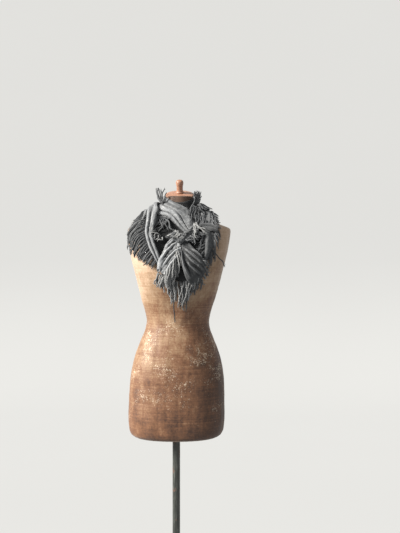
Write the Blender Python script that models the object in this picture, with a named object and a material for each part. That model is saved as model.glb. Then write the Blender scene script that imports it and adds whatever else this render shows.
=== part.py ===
"""A fringed scarf wound round the neck of a papier-mache dress form on an iron stand.

Metres, +Z up, origin on the floor under the pole. The front of the form faces -Y.
Angles run round the neck: 0 is the front, 90 the wearer's left side at +X, 180 the nape.
A drop is measured down the cloth from the rim of the neck, and a lift is out from it.
"""

import math

import bmesh
import bpy
import numpy as np
from mathutils import Matrix, Vector

MM = 0.001
GAP = 0.3 * MM

# The stand
HEM_HEIGHT = 0.651
BASE_RADIUS = 0.170
POLE_RADIUS = 13.5 * MM
POLE_IN_FORM = 0.120

# The form, with heights above its hem
NECK_TOP = 0.861
NECK_TILT = math.radians(22.5)
LEAN = 12.5 * MM / NECK_TOP
FORM_SIDES = 36

FORM_COLUMNS = ("height", "half_width", "front", "back", "square")
FORM_SECTIONS = (
    (0.000, 0.126, 0.074, 0.084, 2.3),
    (0.005, 0.146, 0.090, 0.102, 2.3),
    (0.014, 0.160, 0.101, 0.115, 2.3),
    (0.030, 0.167, 0.107, 0.122, 2.3),
    (0.079, 0.171, 0.112, 0.128, 2.3),
    (0.139, 0.171, 0.113, 0.130, 2.2),
    (0.199, 0.168, 0.112, 0.128, 2.2),
    (0.249, 0.161, 0.109, 0.123, 2.2),
    (0.299, 0.149, 0.103, 0.114, 2.1),
    (0.349, 0.130, 0.094, 0.102, 2.1),
    (0.384, 0.116, 0.088, 0.095, 2.1),
    (0.411, 0.111, 0.086, 0.093, 2.1),
    (0.439, 0.115, 0.088, 0.095, 2.1),
    (0.489, 0.130, 0.100, 0.101, 2.1),
    (0.539, 0.143, 0.117, 0.107, 2.2),
    (0.589, 0.156, 0.127, 0.111, 2.3),
    (0.629, 0.166, 0.121, 0.113, 2.5),
    (0.669, 0.174, 0.107, 0.113, 2.8),
    (0.709, 0.180, 0.089, 0.109, 3.0),
    (0.736, 0.183, 0.076, 0.101, 3.0),
    (0.744, 0.181, 0.073, 0.097, 2.8),
    (0.750, 0.170, 0.071, 0.093, 2.6),
    (0.759, 0.145, 0.069, 0.087, 2.4),
    (0.771, 0.113, 0.066, 0.078, 2.2),
    (0.782, 0.084, 0.062, 0.069, 2.1),
    (0.792, 0.065, 0.058, 0.061, 2.0),
    (0.805, 0.056, 0.054, 0.055, 2.0),
    (0.824, 0.052, 0.051, 0.051, 2.0),
    (0.889, 0.049, 0.049, 0.049, 2.0),
)


def column(table, columns, name):
    """One named column of a table, as an array."""
    return np.array([row[columns.index(name)] for row in table], float)


def smooth(at, x, y):
    """A curve through the points (x, y) that never overshoots them, read at the places at."""
    h = np.diff(x)
    slope = np.diff(y) / h
    same = slope[:-1] * slope[1:] > 0
    total = np.where(same, slope[:-1] + slope[1:], 1.0)
    inner = np.where(same, 2 * slope[:-1] * slope[1:] / total, 0.0)
    grade = np.concatenate([[slope[0]], inner, [slope[-1]]])
    at = np.clip(at, x[0], x[-1])
    k = np.clip(np.searchsorted(x, at, side="right") - 1, 0, len(h) - 1)
    t = (at - x[k]) / h[k]
    start = (1 + 2 * t) * (1 - t) ** 2 * y[k] + t * (1 - t) ** 2 * h[k] * grade[k]
    end = t**2 * (3 - 2 * t) * y[k + 1] + t**2 * (t - 1) * h[k] * grade[k + 1]
    return start + end


def form_radius(angle, height):
    """How far the form reaches from its own axis, at an angle in radians and a height above the hem."""
    at = column(FORM_SECTIONS, FORM_COLUMNS, "height")
    side, front, back, square = (
        smooth(height, at, column(FORM_SECTIONS, FORM_COLUMNS, name)) for name in FORM_COLUMNS[1:]
    )
    deep = np.where(np.cos(angle) > 0, front, back)
    across = np.abs(np.sin(angle) / side) ** square
    along = np.abs(np.cos(angle) / deep) ** square
    return (across + along) ** (-1 / square)


def form_point(angle, radius, height):
    """A point round the form's leaning axis."""
    x = LEAN * height + radius * np.sin(angle)
    return np.stack([x, -radius * np.cos(angle), HEM_HEIGHT + height], axis=-1)


# The hang of the scarf over neck, shoulders and chest: rings from the rim of the neck outward,
# with each ring's reach from the neck's axis and its height over the neck's top, in millimetres
HANG_COLUMNS = (
    "front_reach",
    "front_height",
    "side_reach",
    "side_height",
    "back_reach",
    "back_height",
    "square",
)
HANG_RINGS = (
    (51.5, -24, 50.8, -4, 50.8, 4, 2.0),
    (56.0, -50, 55.0, -28, 55.0, -22, 2.0),
    (66.0, -80, 70.0, -50, 68.0, -52, 2.0),
    (80.0, -115, 96.0, -66, 86.0, -92, 2.1),
    (97.0, -160, 130.0, -80, 106.0, -135, 2.2),
    (117.0, -205, 166.0, -95, 120.0, -178, 2.6),
    (130.0, -250, 187.0, -114, 119.0, -222, 2.7),
    (132.0, -292, 192.0, -150, 117.0, -266, 2.6),
    (120.0, -338, 184.0, -200, 112.0, -310, 2.5),
    (107.0, -385, 170.0, -255, 106.0, -355, 2.4),
    (95.0, -430, 152.0, -310, 99.0, -400, 2.3),
    (90.0, -475, 134.0, -365, 98.0, -445, 2.2),
)
ANGLE_STEP = math.radians(1.5)
DROP_STEP = 2 * MM
LONGEST_DROP = 0.50


def hang_meridian(angle):
    """The hang's line from the neck's rim downward at one angle, in even steps of DROP_STEP."""
    reach = {}
    for end in ("front", "side", "back"):
        for what in ("reach", "height"):
            reach[end, what] = column(HANG_RINGS, HANG_COLUMNS, f"{end}_{what}") * MM
    square = column(HANG_RINGS, HANG_COLUMNS, "square")
    end = "front" if math.cos(angle) > 0 else "back"
    across = np.abs(np.sin(angle) / reach["side", "reach"]) ** square
    along = np.abs(np.cos(angle) / reach[end, "reach"]) ** square
    radius = (across + along) ** (-1 / square)
    turn = math.cos(angle) ** 2
    height = turn * reach[end, "height"] + (1 - turn) * reach["side", "height"]
    ring = np.arange(len(HANG_RINGS), dtype=float)
    fine = np.linspace(0, len(HANG_RINGS) - 1, 400)
    line = form_point(angle, smooth(fine, ring, radius), NECK_TOP + smooth(fine, ring, height))
    line = np.vstack([line, line[-1] + 100 * (line[-1] - line[-2])])
    run = np.concatenate([[0], np.cumsum(np.linalg.norm(np.diff(line, axis=0), axis=1))])
    steps = np.arange(0, LONGEST_DROP, DROP_STEP)
    return np.stack([np.interp(steps, run, line[:, i]) for i in range(3)], axis=-1)


def hang_grid():
    """Points of the hang and its outward normals, by angle and drop."""
    angles = np.arange(-math.pi, math.pi - ANGLE_STEP / 2, ANGLE_STEP)
    points = np.stack([hang_meridian(a) for a in angles])
    round_it = np.roll(points, -1, axis=0) - np.roll(points, 1, axis=0)
    down = np.gradient(points, axis=1)
    normals = np.cross(down, round_it)
    return points, normals / np.linalg.norm(normals, axis=-1, keepdims=True)


HANG, OUTWARD = hang_grid()
ANGLES = len(HANG)
DROPS = HANG.shape[1]


def read_grid(grid, angle, drop):
    """The grid's value between its points; it goes round in angle and straight on past its ends in drop."""
    across = (np.asarray(angle, float) + math.pi) / ANGLE_STEP
    down = np.asarray(drop, float) / DROP_STEP
    i = np.floor(across).astype(int)
    j = np.clip(np.floor(down).astype(int), 0, DROPS - 2)
    s = (across - i)[..., None]
    t = (down - j)[..., None]
    left, right = i % ANGLES, (i + 1) % ANGLES
    upper = (1 - s) * grid[left, j] + s * grid[right, j]
    lower = (1 - s) * grid[left, j + 1] + s * grid[right, j + 1]
    return (1 - t) * upper + t * lower


def on_hang(angle, drop, lift):
    """Points lifted off the hang; angle in radians, drop and lift in metres."""
    place = read_grid(HANG, angle, drop)
    out = read_grid(OUTWARD, angle, np.clip(drop, 0, LONGEST_DROP))
    return place + out / np.linalg.norm(out, axis=-1, keepdims=True) * np.asarray(lift)[..., None]


def girth(angle, drop):
    """How far apart two places of the hang are, for each radian between them."""
    step = ANGLE_STEP / 2
    ends = [read_grid(HANG, angle + way * step, np.clip(drop, 0, LONGEST_DROP)) for way in (-1, 1)]
    return np.linalg.norm(ends[1] - ends[0], axis=-1) / (2 * step)


class Path:
    """A line over the hang through the rows of a table, and what else the table gives along it."""

    def __init__(self, columns, rows):
        self.columns = columns
        self.rows = np.array(rows, float)
        line = on_hang(np.radians(self.rows[:, 0]), self.rows[:, 1] * MM, np.zeros(len(rows)))
        self.run = np.concatenate([[0], np.cumsum(np.linalg.norm(np.diff(line, axis=0), axis=1))])
        self.length = self.run[-1]

    def value(self, name, along):
        """A column's value at parts 0 to 1 of the path's length."""
        return smooth(np.asarray(along) * self.length, self.run, self.rows[:, self.columns.index(name)])

    def place(self, along, ahead, beside):
        """Angle and drop of points off the path: ahead of a place on it and beside it, in metres."""
        near = [np.clip(along + way * 0.004, 0, 1) for way in (-1, 1)]
        turn, fall = (
            (self.value("angle", near[1]) - self.value("angle", near[0])) * math.pi / 180,
            (self.value("drop", near[1]) - self.value("drop", near[0])) * MM,
        )
        angle = np.radians(self.value("angle", along))
        drop = self.value("drop", along) * MM
        wide = girth(angle, drop)
        size = np.hypot(turn * wide, fall)
        right, down = turn * wide / size, fall / size
        there = drop + down * beside + right * ahead
        wide = (wide + girth(angle, there)) / 2
        return angle + (right * beside - down * ahead) / wide, there


def material(name, colour, rough, metal=0.0):
    """A plain Principled material."""
    made = bpy.data.materials.new(name)
    made.use_nodes = True
    shader = made.node_tree.nodes["Principled BSDF"]
    shader.inputs["Base Color"].default_value = (*colour, 1)
    shader.inputs["Roughness"].default_value = rough
    shader.inputs["Metallic"].default_value = metal
    return made


def finish(name, bm, made, collection):
    """Turns a closed bmesh into a named object with its material."""
    bmesh.ops.recalc_face_normals(bm, faces=bm.faces[:])
    if bm.calc_volume(signed=True) < 0:
        bmesh.ops.reverse_faces(bm, faces=bm.faces[:])
    mesh = bpy.data.meshes.new(name)
    bm.to_mesh(mesh)
    bm.free()
    mesh.materials.append(made)
    piece = bpy.data.objects.new(name, mesh)
    collection.objects.link(piece)
    return piece


def turned(profile, sides, centre=(0, 0, 0), tilt=0.0):
    """A closed turned body from (radius, height) steps, stood on a centre and tilted forward."""
    bm = bmesh.new()
    bmesh.ops.create_cone(bm, cap_ends=True, segments=sides, radius1=1, radius2=1, depth=1)
    upright = [e for e in bm.edges if abs(e.verts[0].co.z - e.verts[1].co.z) > 0.5]
    if len(profile) > 2:
        bmesh.ops.subdivide_edges(bm, edges=upright, cuts=len(profile) - 2)
    place = Matrix.Translation(Vector(centre)) @ Matrix.Rotation(tilt, 4, "X")
    for vert in bm.verts:
        radius, height = profile[round((vert.co.z + 0.5) * (len(profile) - 1))]
        vert.co = place @ Vector((vert.co.x * radius, vert.co.y * radius, height))
    return bm


def form_body():
    """The form: a closed body through its sections, a slanting neck, a lipped underside and the pole's hole."""
    bm = bmesh.new()
    bmesh.ops.create_cone(bm, cap_ends=True, segments=FORM_SIDES, radius1=1, radius2=1, depth=1)
    heights = list(column(FORM_SECTIONS, FORM_COLUMNS, "height")[:-1]) + [NECK_TOP]
    upright = [e for e in bm.edges if abs(e.verts[0].co.z - e.verts[1].co.z) > 0.5]
    bmesh.ops.subdivide_edges(bm, edges=upright, cuts=len(heights) - 2)
    last = len(heights) - 1
    for vert in bm.verts:
        row = round((vert.co.z + 0.5) * last)
        angle = math.atan2(vert.co.x, -vert.co.y)
        radius = float(form_radius(np.array(angle), np.array(heights[row])))
        height = heights[row]
        if row == last:
            height -= math.tan(NECK_TILT) * radius * math.cos(angle)
        vert.co = Vector(form_point(angle, radius, height))
    bm.faces.ensure_lookup_table()
    floor = min((f for f in bm.faces if len(f.verts) == FORM_SIDES), key=lambda f: f.calc_center_median().z)
    for share, hole, height in FORM_UNDERSIDE:
        made = bmesh.ops.extrude_discrete_faces(bm, faces=[floor])
        floor = made["faces"][0]
        for vert in floor.verts:
            angle = math.atan2(vert.co.x, -vert.co.y)
            radius = share * float(form_radius(np.array(angle), np.array(0.0))) + hole
            vert.co = Vector(form_point(angle, radius, height))
            vert.co.x -= LEAN * height
    return bm


# Each step of the underside: share of the hem's reach, or a plain radius, and height over the hem
FORM_UNDERSIDE = (
    (0.90, 0.0, 0.0),
    (0.90, 0.0, 0.016),
    (0.0, POLE_RADIUS + GAP, 0.016),
    (0.0, POLE_RADIUS + GAP, POLE_IN_FORM + GAP),
)

# Turned parts as steps of radius and height, in metres
BASE_PROFILE = (
    (0.150, 0.000),
    (0.168, 0.001),
    (0.170, 0.005),
    (0.169, 0.010),
    (0.163, 0.014),
    (0.120, 0.018),
    (0.062, 0.024),
    (0.036, 0.032),
    (0.025, 0.046),
    (0.022, 0.074),
    (0.019, 0.078),
    (POLE_RADIUS + GAP, 0.078),
    (POLE_RADIUS + GAP, 0.040),
)
POLE_FOOT = 0.0403
CAP_PROFILE = (
    (0.0455, 0.0000),
    (0.0495, 0.0012),
    (0.0505, 0.0035),
    (0.0498, 0.0060),
    (0.0450, 0.0078),
    (0.0330, 0.0098),
    (0.0190, 0.0110),
    (0.0160, 0.0112),
)
KNOB_PROFILE = (
    (0.0125, 0.0000),
    (0.0140, 0.0012),
    (0.0138, 0.0040),
    (0.0122, 0.0070),
    (0.0112, 0.0140),
    (0.0113, 0.0220),
    (0.0124, 0.0295),
    (0.0134, 0.0350),
    (0.0132, 0.0400),
    (0.0112, 0.0445),
    (0.0070, 0.0474),
    (0.0030, 0.0482),
)

# The cloth
CLOTH = 2.2 * MM


def rise(folds, across):
    """Height of a cloth's folds across it, from a table of (place across, -1 to 1, and rise in mm)."""
    table = np.array(folds, float)
    return smooth(across, table[:, 0], table[:, 1]) * MM


def thick_grid(along, across):
    """A closed flat body of quads; its vertices read as (along, across, side) with side 0 or 1."""
    bm = bmesh.new()
    bmesh.ops.create_grid(bm, x_segments=along, y_segments=across, size=1)
    made = bmesh.ops.extrude_face_region(bm, geom=bm.faces[:])
    for vert in (v for v in made["geom"] if isinstance(v, bmesh.types.BMVert)):
        vert.co.z = 1
    return bm


def strip(path, folds, along, across):
    """A length of folded cloth laid over the hang along a path."""
    bm = thick_grid(along, across)
    spot = np.array([v.co for v in bm.verts])
    t = (spot[:, 0] + 1) / 2
    u = spot[:, 1]
    width = np.where(u < 0, path.value("above", t), path.value("below", t)) * MM
    angle, drop = path.place(t, u * width, np.zeros(len(t)))
    crimp = 0.5 * MM * np.sin(t * path.length / 0.021 + 2.3 * u) * (1 - u**2)
    lift = path.value("lift", t) * MM + path.value("fold", t) * rise(folds, u) + crimp
    lift += (spot[:, 2] - 0.5) * CLOTH
    for vert, place in zip(bm.verts, on_hang(angle, drop, lift)):
        vert.co = place
    return bm


def ring(edge, folds, around, across, pleats):
    """A cloth ring round the neck, from its rim down to an edge whose drop a table gives by angle."""
    bm = bmesh.new()
    bmesh.ops.create_cone(bm, cap_ends=False, segments=around, radius1=1, radius2=1, depth=1)
    upright = [e for e in bm.edges if abs(e.verts[0].co.z - e.verts[1].co.z) > 0.5]
    bmesh.ops.subdivide_edges(bm, edges=upright, cuts=across - 1)
    made = bmesh.ops.extrude_face_region(bm, geom=bm.faces[:])
    for vert in (v for v in made["geom"] if isinstance(v, bmesh.types.BMVert)):
        vert.co.x *= 2
        vert.co.y *= 2
    spot = np.array([v.co for v in bm.verts])
    angle = np.arctan2(spot[:, 0], -spot[:, 1])
    u = 2 * spot[:, 2]
    side = np.hypot(spot[:, 0], spot[:, 1]) - 1
    table = np.array(edge, float)
    low = smooth(np.degrees(angle), table[:, 0], table[:, 1]) * MM
    high = smooth(np.degrees(angle), table[:, 0], table[:, 2]) * MM
    share = (1 - u) / 2
    drop = high + share * (low - high)
    wave = (1 - np.cos(pleats * angle + 1.2 * np.sin(2 * angle))) / 2
    lift = 1.3 * MM + share * (0.3 + 0.7 * share) * wave * 4.6 * MM + rise(folds, u)
    lift += (side - 0.5) * CLOTH
    for vert, place in zip(bm.verts, on_hang(angle, drop, lift)):
        vert.co = place
    return bm


def chance(*seeds):
    """A settled number from 0 to 1 for whole-number seeds."""
    value = math.sin(sum((k + 1.7) * 12.9898 * (s + 0.37) for k, s in enumerate(seeds))) * 43758.5453
    return value - math.floor(value)


def fringe(path, strands, steps, seed):
    """Strands in a row, one body with the strip along the cloth's edge that they stand on."""
    cells = 2 * strands - 1
    bm = thick_grid(cells, 1)
    outer = [f for f in bm.faces if f.calc_center_median().y > 0.99]
    outer.sort(key=lambda f: f.calc_center_median().x)
    tips = outer[::2]
    for step in range(steps):
        tips = bmesh.ops.extrude_discrete_faces(bm, faces=tips)["faces"]
        for vert in {v for f in tips for v in f.verts}:
            vert.co.y = 2 + step
    spot = np.array([v.co for v in bm.verts])
    cell = np.clip(np.floor((spot[:, 0] + 1) / 2 * cells + 1e-4), 0, cells - 1)
    grown = spot[:, 1] > 1.5
    t = (spot[:, 0] + 1) / 2
    side = np.zeros(len(t))
    if grown.any():
        nearest = np.round((spot[grown, 0] + 1) / 2 * cells)
        owner = np.where(nearest % 2 == 0, nearest, nearest - 1)
        cell[grown] = owner
        side[grown] = np.where(nearest == owner, -1, 1)
        t[grown] = (owner + 0.5) / cells
    strand = (cell / 2).astype(int)
    far = np.where(grown, (spot[:, 1] - 1) / steps, 0.0)
    luck = np.array([[chance(seed, k, i) for i in range(4)] for k in range(strands)])[strand]
    long = path.value("long", t) * MM * (0.84 + 0.32 * luck[:, 0])
    heading = np.radians(path.value("heading", t) + 14 * (luck[:, 1] - 0.5) + 16 * far * (luck[:, 2] - 0.5))
    narrow = STRAND * (1 - 0.45 * far**2)
    beside = far * long * np.sin(heading) + side * narrow / 2 * np.cos(heading)
    ahead = ROOT_GAP + ROOT_STRIP + far * long * np.cos(heading) - side * narrow / 2 * np.sin(heading)
    root = ROOT_GAP + (spot[:, 1] + 1) / 2 * ROOT_STRIP
    ahead = np.where(grown, ahead, root)
    beside = np.where(grown, beside, 0.0)
    angle, drop = path.place(t, ahead, beside)
    level = path.value("lift", t) * (1 - far) + path.value("tip_lift", t) * far
    level = level + STRAND_ROWS * (strand % 2) * np.minimum(1, 3 * far)
    bow = 1.2 * np.sin(math.pi * far) * luck[:, 3]
    lift = (level + bow) * MM + (spot[:, 2] - 0.5) * STRAND * (1 - 0.35 * far**2)
    for vert, place in zip(bm.verts, on_hang(angle, drop, lift)):
        vert.co = place
    return bm


STRAND = 2.6 * MM
ROOT_STRIP = 3.0 * MM
ROOT_GAP = 0.6 * MM
STRAND_ROWS = 3.2


# Cloth tables: angle in degrees, the rest in millimetres; above and below are the widths to each side
CLOTH_COLUMNS = ("angle", "drop", "above", "below", "lift", "fold")
COLLAR = (
    (-225, 40, 28, 40, 8.4, 0.3),
    (-180, 40, 30, 44, 8.4, 0.3),
    (-150, 37, 28, 45, 8.4, 0.4),
    (-120, 32, 27, 48, 8.4, 0.6),
    (-95, 27, 25, 54, 8.4, 0.8),
    (-70, 24, 25, 60, 8.4, 1.0),
    (-45, 26, 26, 60, 8.4, 1.0),
    (-30, 30, 28, 54, 8.4, 1.0),
    (-15, 37, 30, 46, 8.4, 1.0),
    (0, 52, 33, 38, 8.4, 1.0),
    (8, 68, 38, 32, 8.4, 0.9),
    (16, 90, 41, 26, 8.4, 0.8),
    (23, 114, 38, 19, 8.4, 0.6),
    (30, 142, 28, 12, 8.4, 0.4),
)
LOOP = (
    (31, 258, 12, 12, 9.2, 0.6),
    (36, 236, 14, 14, 10.6, 0.8),
    (41, 202, 16, 18, 11.5, 1.0),
    (45, 170, 18, 22, 12, 1.0),
    (51, 136, 20, 25, 12.5, 1.0),
    (60, 104, 24, 28, 12.5, 1.0),
    (76, 76, 28, 32, 12, 1.0),
    (98, 62, 30, 34, 12, 1.0),
    (116, 58, 31, 37, 16.5, 1.0),
    (134, 56, 32, 40, 21, 1.0),
    (180, 56, 34, 42, 21, 1.0),
    (220, 56, 32, 40, 22, 1.0),
    (260, 58, 30, 36, 24.5, 1.0),
    (282, 72, 28, 34, 24.5, 1.0),
    (298, 104, 26, 28, 20.5, 1.0),
    (308, 145, 22, 20, 15.5, 1.0),
    (313.5, 171, 19, 16, 13, 1.0),
    (322, 201, 16, 14, 12, 1.0),
    (329, 222, 14, 13, 11, 0.8),
    (335, 246, 12, 12, 9.2, 0.6),
)
LEFT_TAIL = (
    (0, 142, 9, 12, 19.0, 0.5),
    (-3, 162, 17.2, 24, 19.0, 1.0),
    (-9, 203, 28, 28, 18.4, 1.0),
    (-16.5, 241, 24, 22, 17.6, 1.0),
    (-22, 275, 16, 14, 17.5, 0.8),
)
RIGHT_TAIL = (
    (10, 156, 8, 7, 19.0, 0.5),
    (14, 184, 18, 14, 20.0, 1.0),
    (16, 210, 28, 23, 21.0, 1.0),
    (20, 238, 35, 32, 21.0, 1.0),
    (24, 264, 32, 35, 19.0, 1.0),
    (27, 296, 18, 24, 15.0, 0.6),
)
CROSS_BAND = (
    (1, 172, 8, 8, 27.8, 0.6),
    (8, 158, 12, 12, 27.6, 1.0),
    (17, 145, 13, 13, 27.4, 1.0),
    (26, 134, 13, 12, 26.6, 1.0),
    (34, 124, 10, 10, 25.2, 0.6),
)
RIGHT_FLAP = (
    (40, 123, 8, 8, 21.8, 0.5),
    (45, 136, 11, 11, 21.8, 1.0),
    (50, 153, 12, 12, 21.3, 1.0),
    (55, 174, 9, 9, 19.3, 0.6),
)

# Folds across each cloth: place across it from -1 to 1, and how far it rises
COLLAR_FOLDS = (
    (-1.0, 0.0),
    (-0.8, 2.6),
    (-0.45, 2.0),
    (-0.12, 2.8),
    (0.0, 0.0),
    (0.10, 2.0),
    (0.30, 8.0),
    (0.50, 3.0),
    (0.56, 2.2),
    (0.74, 7.6),
    (0.92, 1.4),
    (1.0, 0.0),
)
LOOP_FOLDS = (
    (-1.0, 0.0),
    (-0.55, 5.6),
    (-0.08, 0.8),
    (0.35, 6.0),
    (0.72, 2.6),
    (1.0, 0.4),
)
LEFT_TAIL_FOLDS = (
    (-1.0, 0.0),
    (-0.6, 2.4),
    (-0.35, 0.6),
    (0.0, 3.2),
    (0.3, 1.2),
    (0.76, 7.0),
    (1.0, 1.0),
)
RIGHT_TAIL_FOLDS = (
    (-1.0, 0.0),
    (-0.78, 5.4),
    (-0.52, 1.2),
    (-0.28, 4.6),
    (0.0, 0.8),
    (0.25, 3.0),
    (0.5, 0.8),
    (0.84, 6.0),
    (1.0, 1.0),
)
BAND_FOLDS = ((-1.0, 0.0), (-0.45, 2.8), (0.05, 0.8), (0.5, 3.0), (1.0, 0.0))
YOKE_FOLDS = ((-1.0, 0.0), (0.7, 0.0), (1.0, 0.0))

# The yoke's edge and top by angle
YOKE_EDGE = (
    (-180, 122, 3),
    (-145, 110, 3),
    (-115, 86, 3),
    (-92, 76, 3),
    (-76, 84, 3),
    (-62, 120, 3),
    (-50, 165, 3),
    (-40, 202, 3),
    (-30, 236, 3),
    (-18, 264, 3),
    (-7, 284, 3),
    (5, 292, 3),
    (18, 284, 3),
    (30, 260, 3),
    (38, 236, 3),
    (47, 200, 3),
    (55, 158, 3),
    (64, 120, 3),
    (76, 88, 3),
    (92, 76, 3),
    (115, 86, 3),
    (145, 110, 3),
    (180, 122, 3),
)

# Fringe tables along a cloth's edge: part of the edge, strand length, its turn from straight out, tip lift
EDGE_COLUMNS = ("part", "long", "heading", "tip_lift")
FREE_COLUMNS = ("angle", "drop", "lift", "long", "heading", "tip_lift")


def edge_path(cloth, folds, where, rows, count=28):
    """The path along a cloth's edge, with the fringe's own columns, read so that ahead is off the cloth."""
    table = np.array(rows, float)
    part = np.linspace(table[0, 0], table[-1, 0], count)
    if where == "end":
        t = np.ones(count)
        u = 1 - 2 * part
    else:
        t = part
        u = np.full(count, 1.0 if where == "below" else -1.0)
    width = np.where(u < 0, cloth.value("above", t), cloth.value("below", t)) * MM
    angle, drop = cloth.place(t, u * width, np.zeros(count))
    lift = cloth.value("lift", t) + cloth.value("fold", t) * rise(folds, u) / MM
    own = [smooth(part, table[:, 0], table[:, k]) for k in (1, 2, 3)]
    line = np.stack([np.degrees(angle), drop / MM, lift, *own], axis=-1)
    return Path(FREE_COLUMNS, line[::-1] if where == "above" else line)


def yoke_path(rows, lift):
    """The same along the yoke's lower edge, whose parts are angles in degrees."""
    table = np.array(rows, float)
    part = np.linspace(table[0, 0], table[-1, 0], 40)
    edge = np.array(YOKE_EDGE, float)
    turned_to = (part + 180) % 360 - 180
    drop = smooth(turned_to, edge[:, 0], edge[:, 1])
    own = [smooth(part, table[:, 0], table[:, k]) for k in (1, 2, 3)]
    return Path(FREE_COLUMNS, np.stack([part, drop, np.full(40, lift), *own], axis=-1))


# Name, edge table or free table, number of strands, steps along each
LEFT_FRINGE = (
    (0.70, 46, 40, 14),
    (0.76, 60, 50, 8),
    (0.80, 60, 42, 6),
    (0.84, 60, 28, 5),
    (0.90, 52, 12, 4),
    (0.95, 38, 16, 4),
    (0.985, 22, 26, 4),
)
RIGHT_FRINGE = ((0.05, 36, -54, 5), (0.10, 40, -54, 5), (0.16, 40, -56, 6), (0.24, 38, -50, 8), (0.31, 34, -34, 10))
BACK_FRINGE = ((96, 70, 8, 4), (130, 80, 4, 4), (180, 84, 0, 4), (230, 80, -4, 4), (264, 70, -8, 4))
POINT_FRINGE = ((-24, 46, 50, 4), (-8, 72, 34, 4), (6, 98, 2, 4), (20, 78, -36, 4), (38, 44, -58, 4))
LEFT_TAIL_END = ((0.06, 44, 4, 15), (0.5, 46, 6, 13), (0.94, 42, 10, 13))
LEFT_TAIL_SIDE = ((0.44, 56, -68, 18), (0.7, 60, -60, 15), (0.96, 56, -48, 12))
RIGHT_TAIL_END = ((0.06, 40, -6, 10), (0.5, 44, -4, 10), (0.94, 40, 0, 10))
RIGHT_TAIL_SIDE = ((0.64, 24, -50, 12), (0.8, 30, -50, 11), (0.96, 32, -46, 11))
CROSS_FRINGE = ((0.2, 30, 24, 27.4), (0.55, 36, 22, 26.4), (0.9, 34, 18, 25.4))
HOLLOW_RIGHT = ((0.055, 30, 46, 10), (0.12, 34, 44, 10), (0.17, 30, 40, 10))
HOLLOW_LEFT = ((0.52, 44, 6, 8), (0.60, 60, 0, 8), (0.67, 60, -16, 8), (0.73, 40, -40, 8))
TUFT_LEFT = ((-58, 28, 14.3, 44, -6, 28), (-70, 25, 14.3, 58, 10, 34), (-84, 24, 14.0, 46, 22, 38))
TUFT_RIGHT = ((84, 29, 5.1, 44, -16, 22), (68, 28, 5.1, 54, 0, 24), (52, 27, 5.1, 44, 18, 20))
SHOULDER = ((48, 66, 20.9, 40, -30, 20), (58, 60, 20.9, 48, -34, 20), (70, 54, 20.9, 50, -38, 20), (84, 50, 20.9, 44, -40, 20))
MIDDLE = ((30, 121, 33.2, 44, 6, 33), (35, 118, 33.2, 54, 0, 32.5), (40, 115, 32.7, 46, -4, 32))


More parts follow.
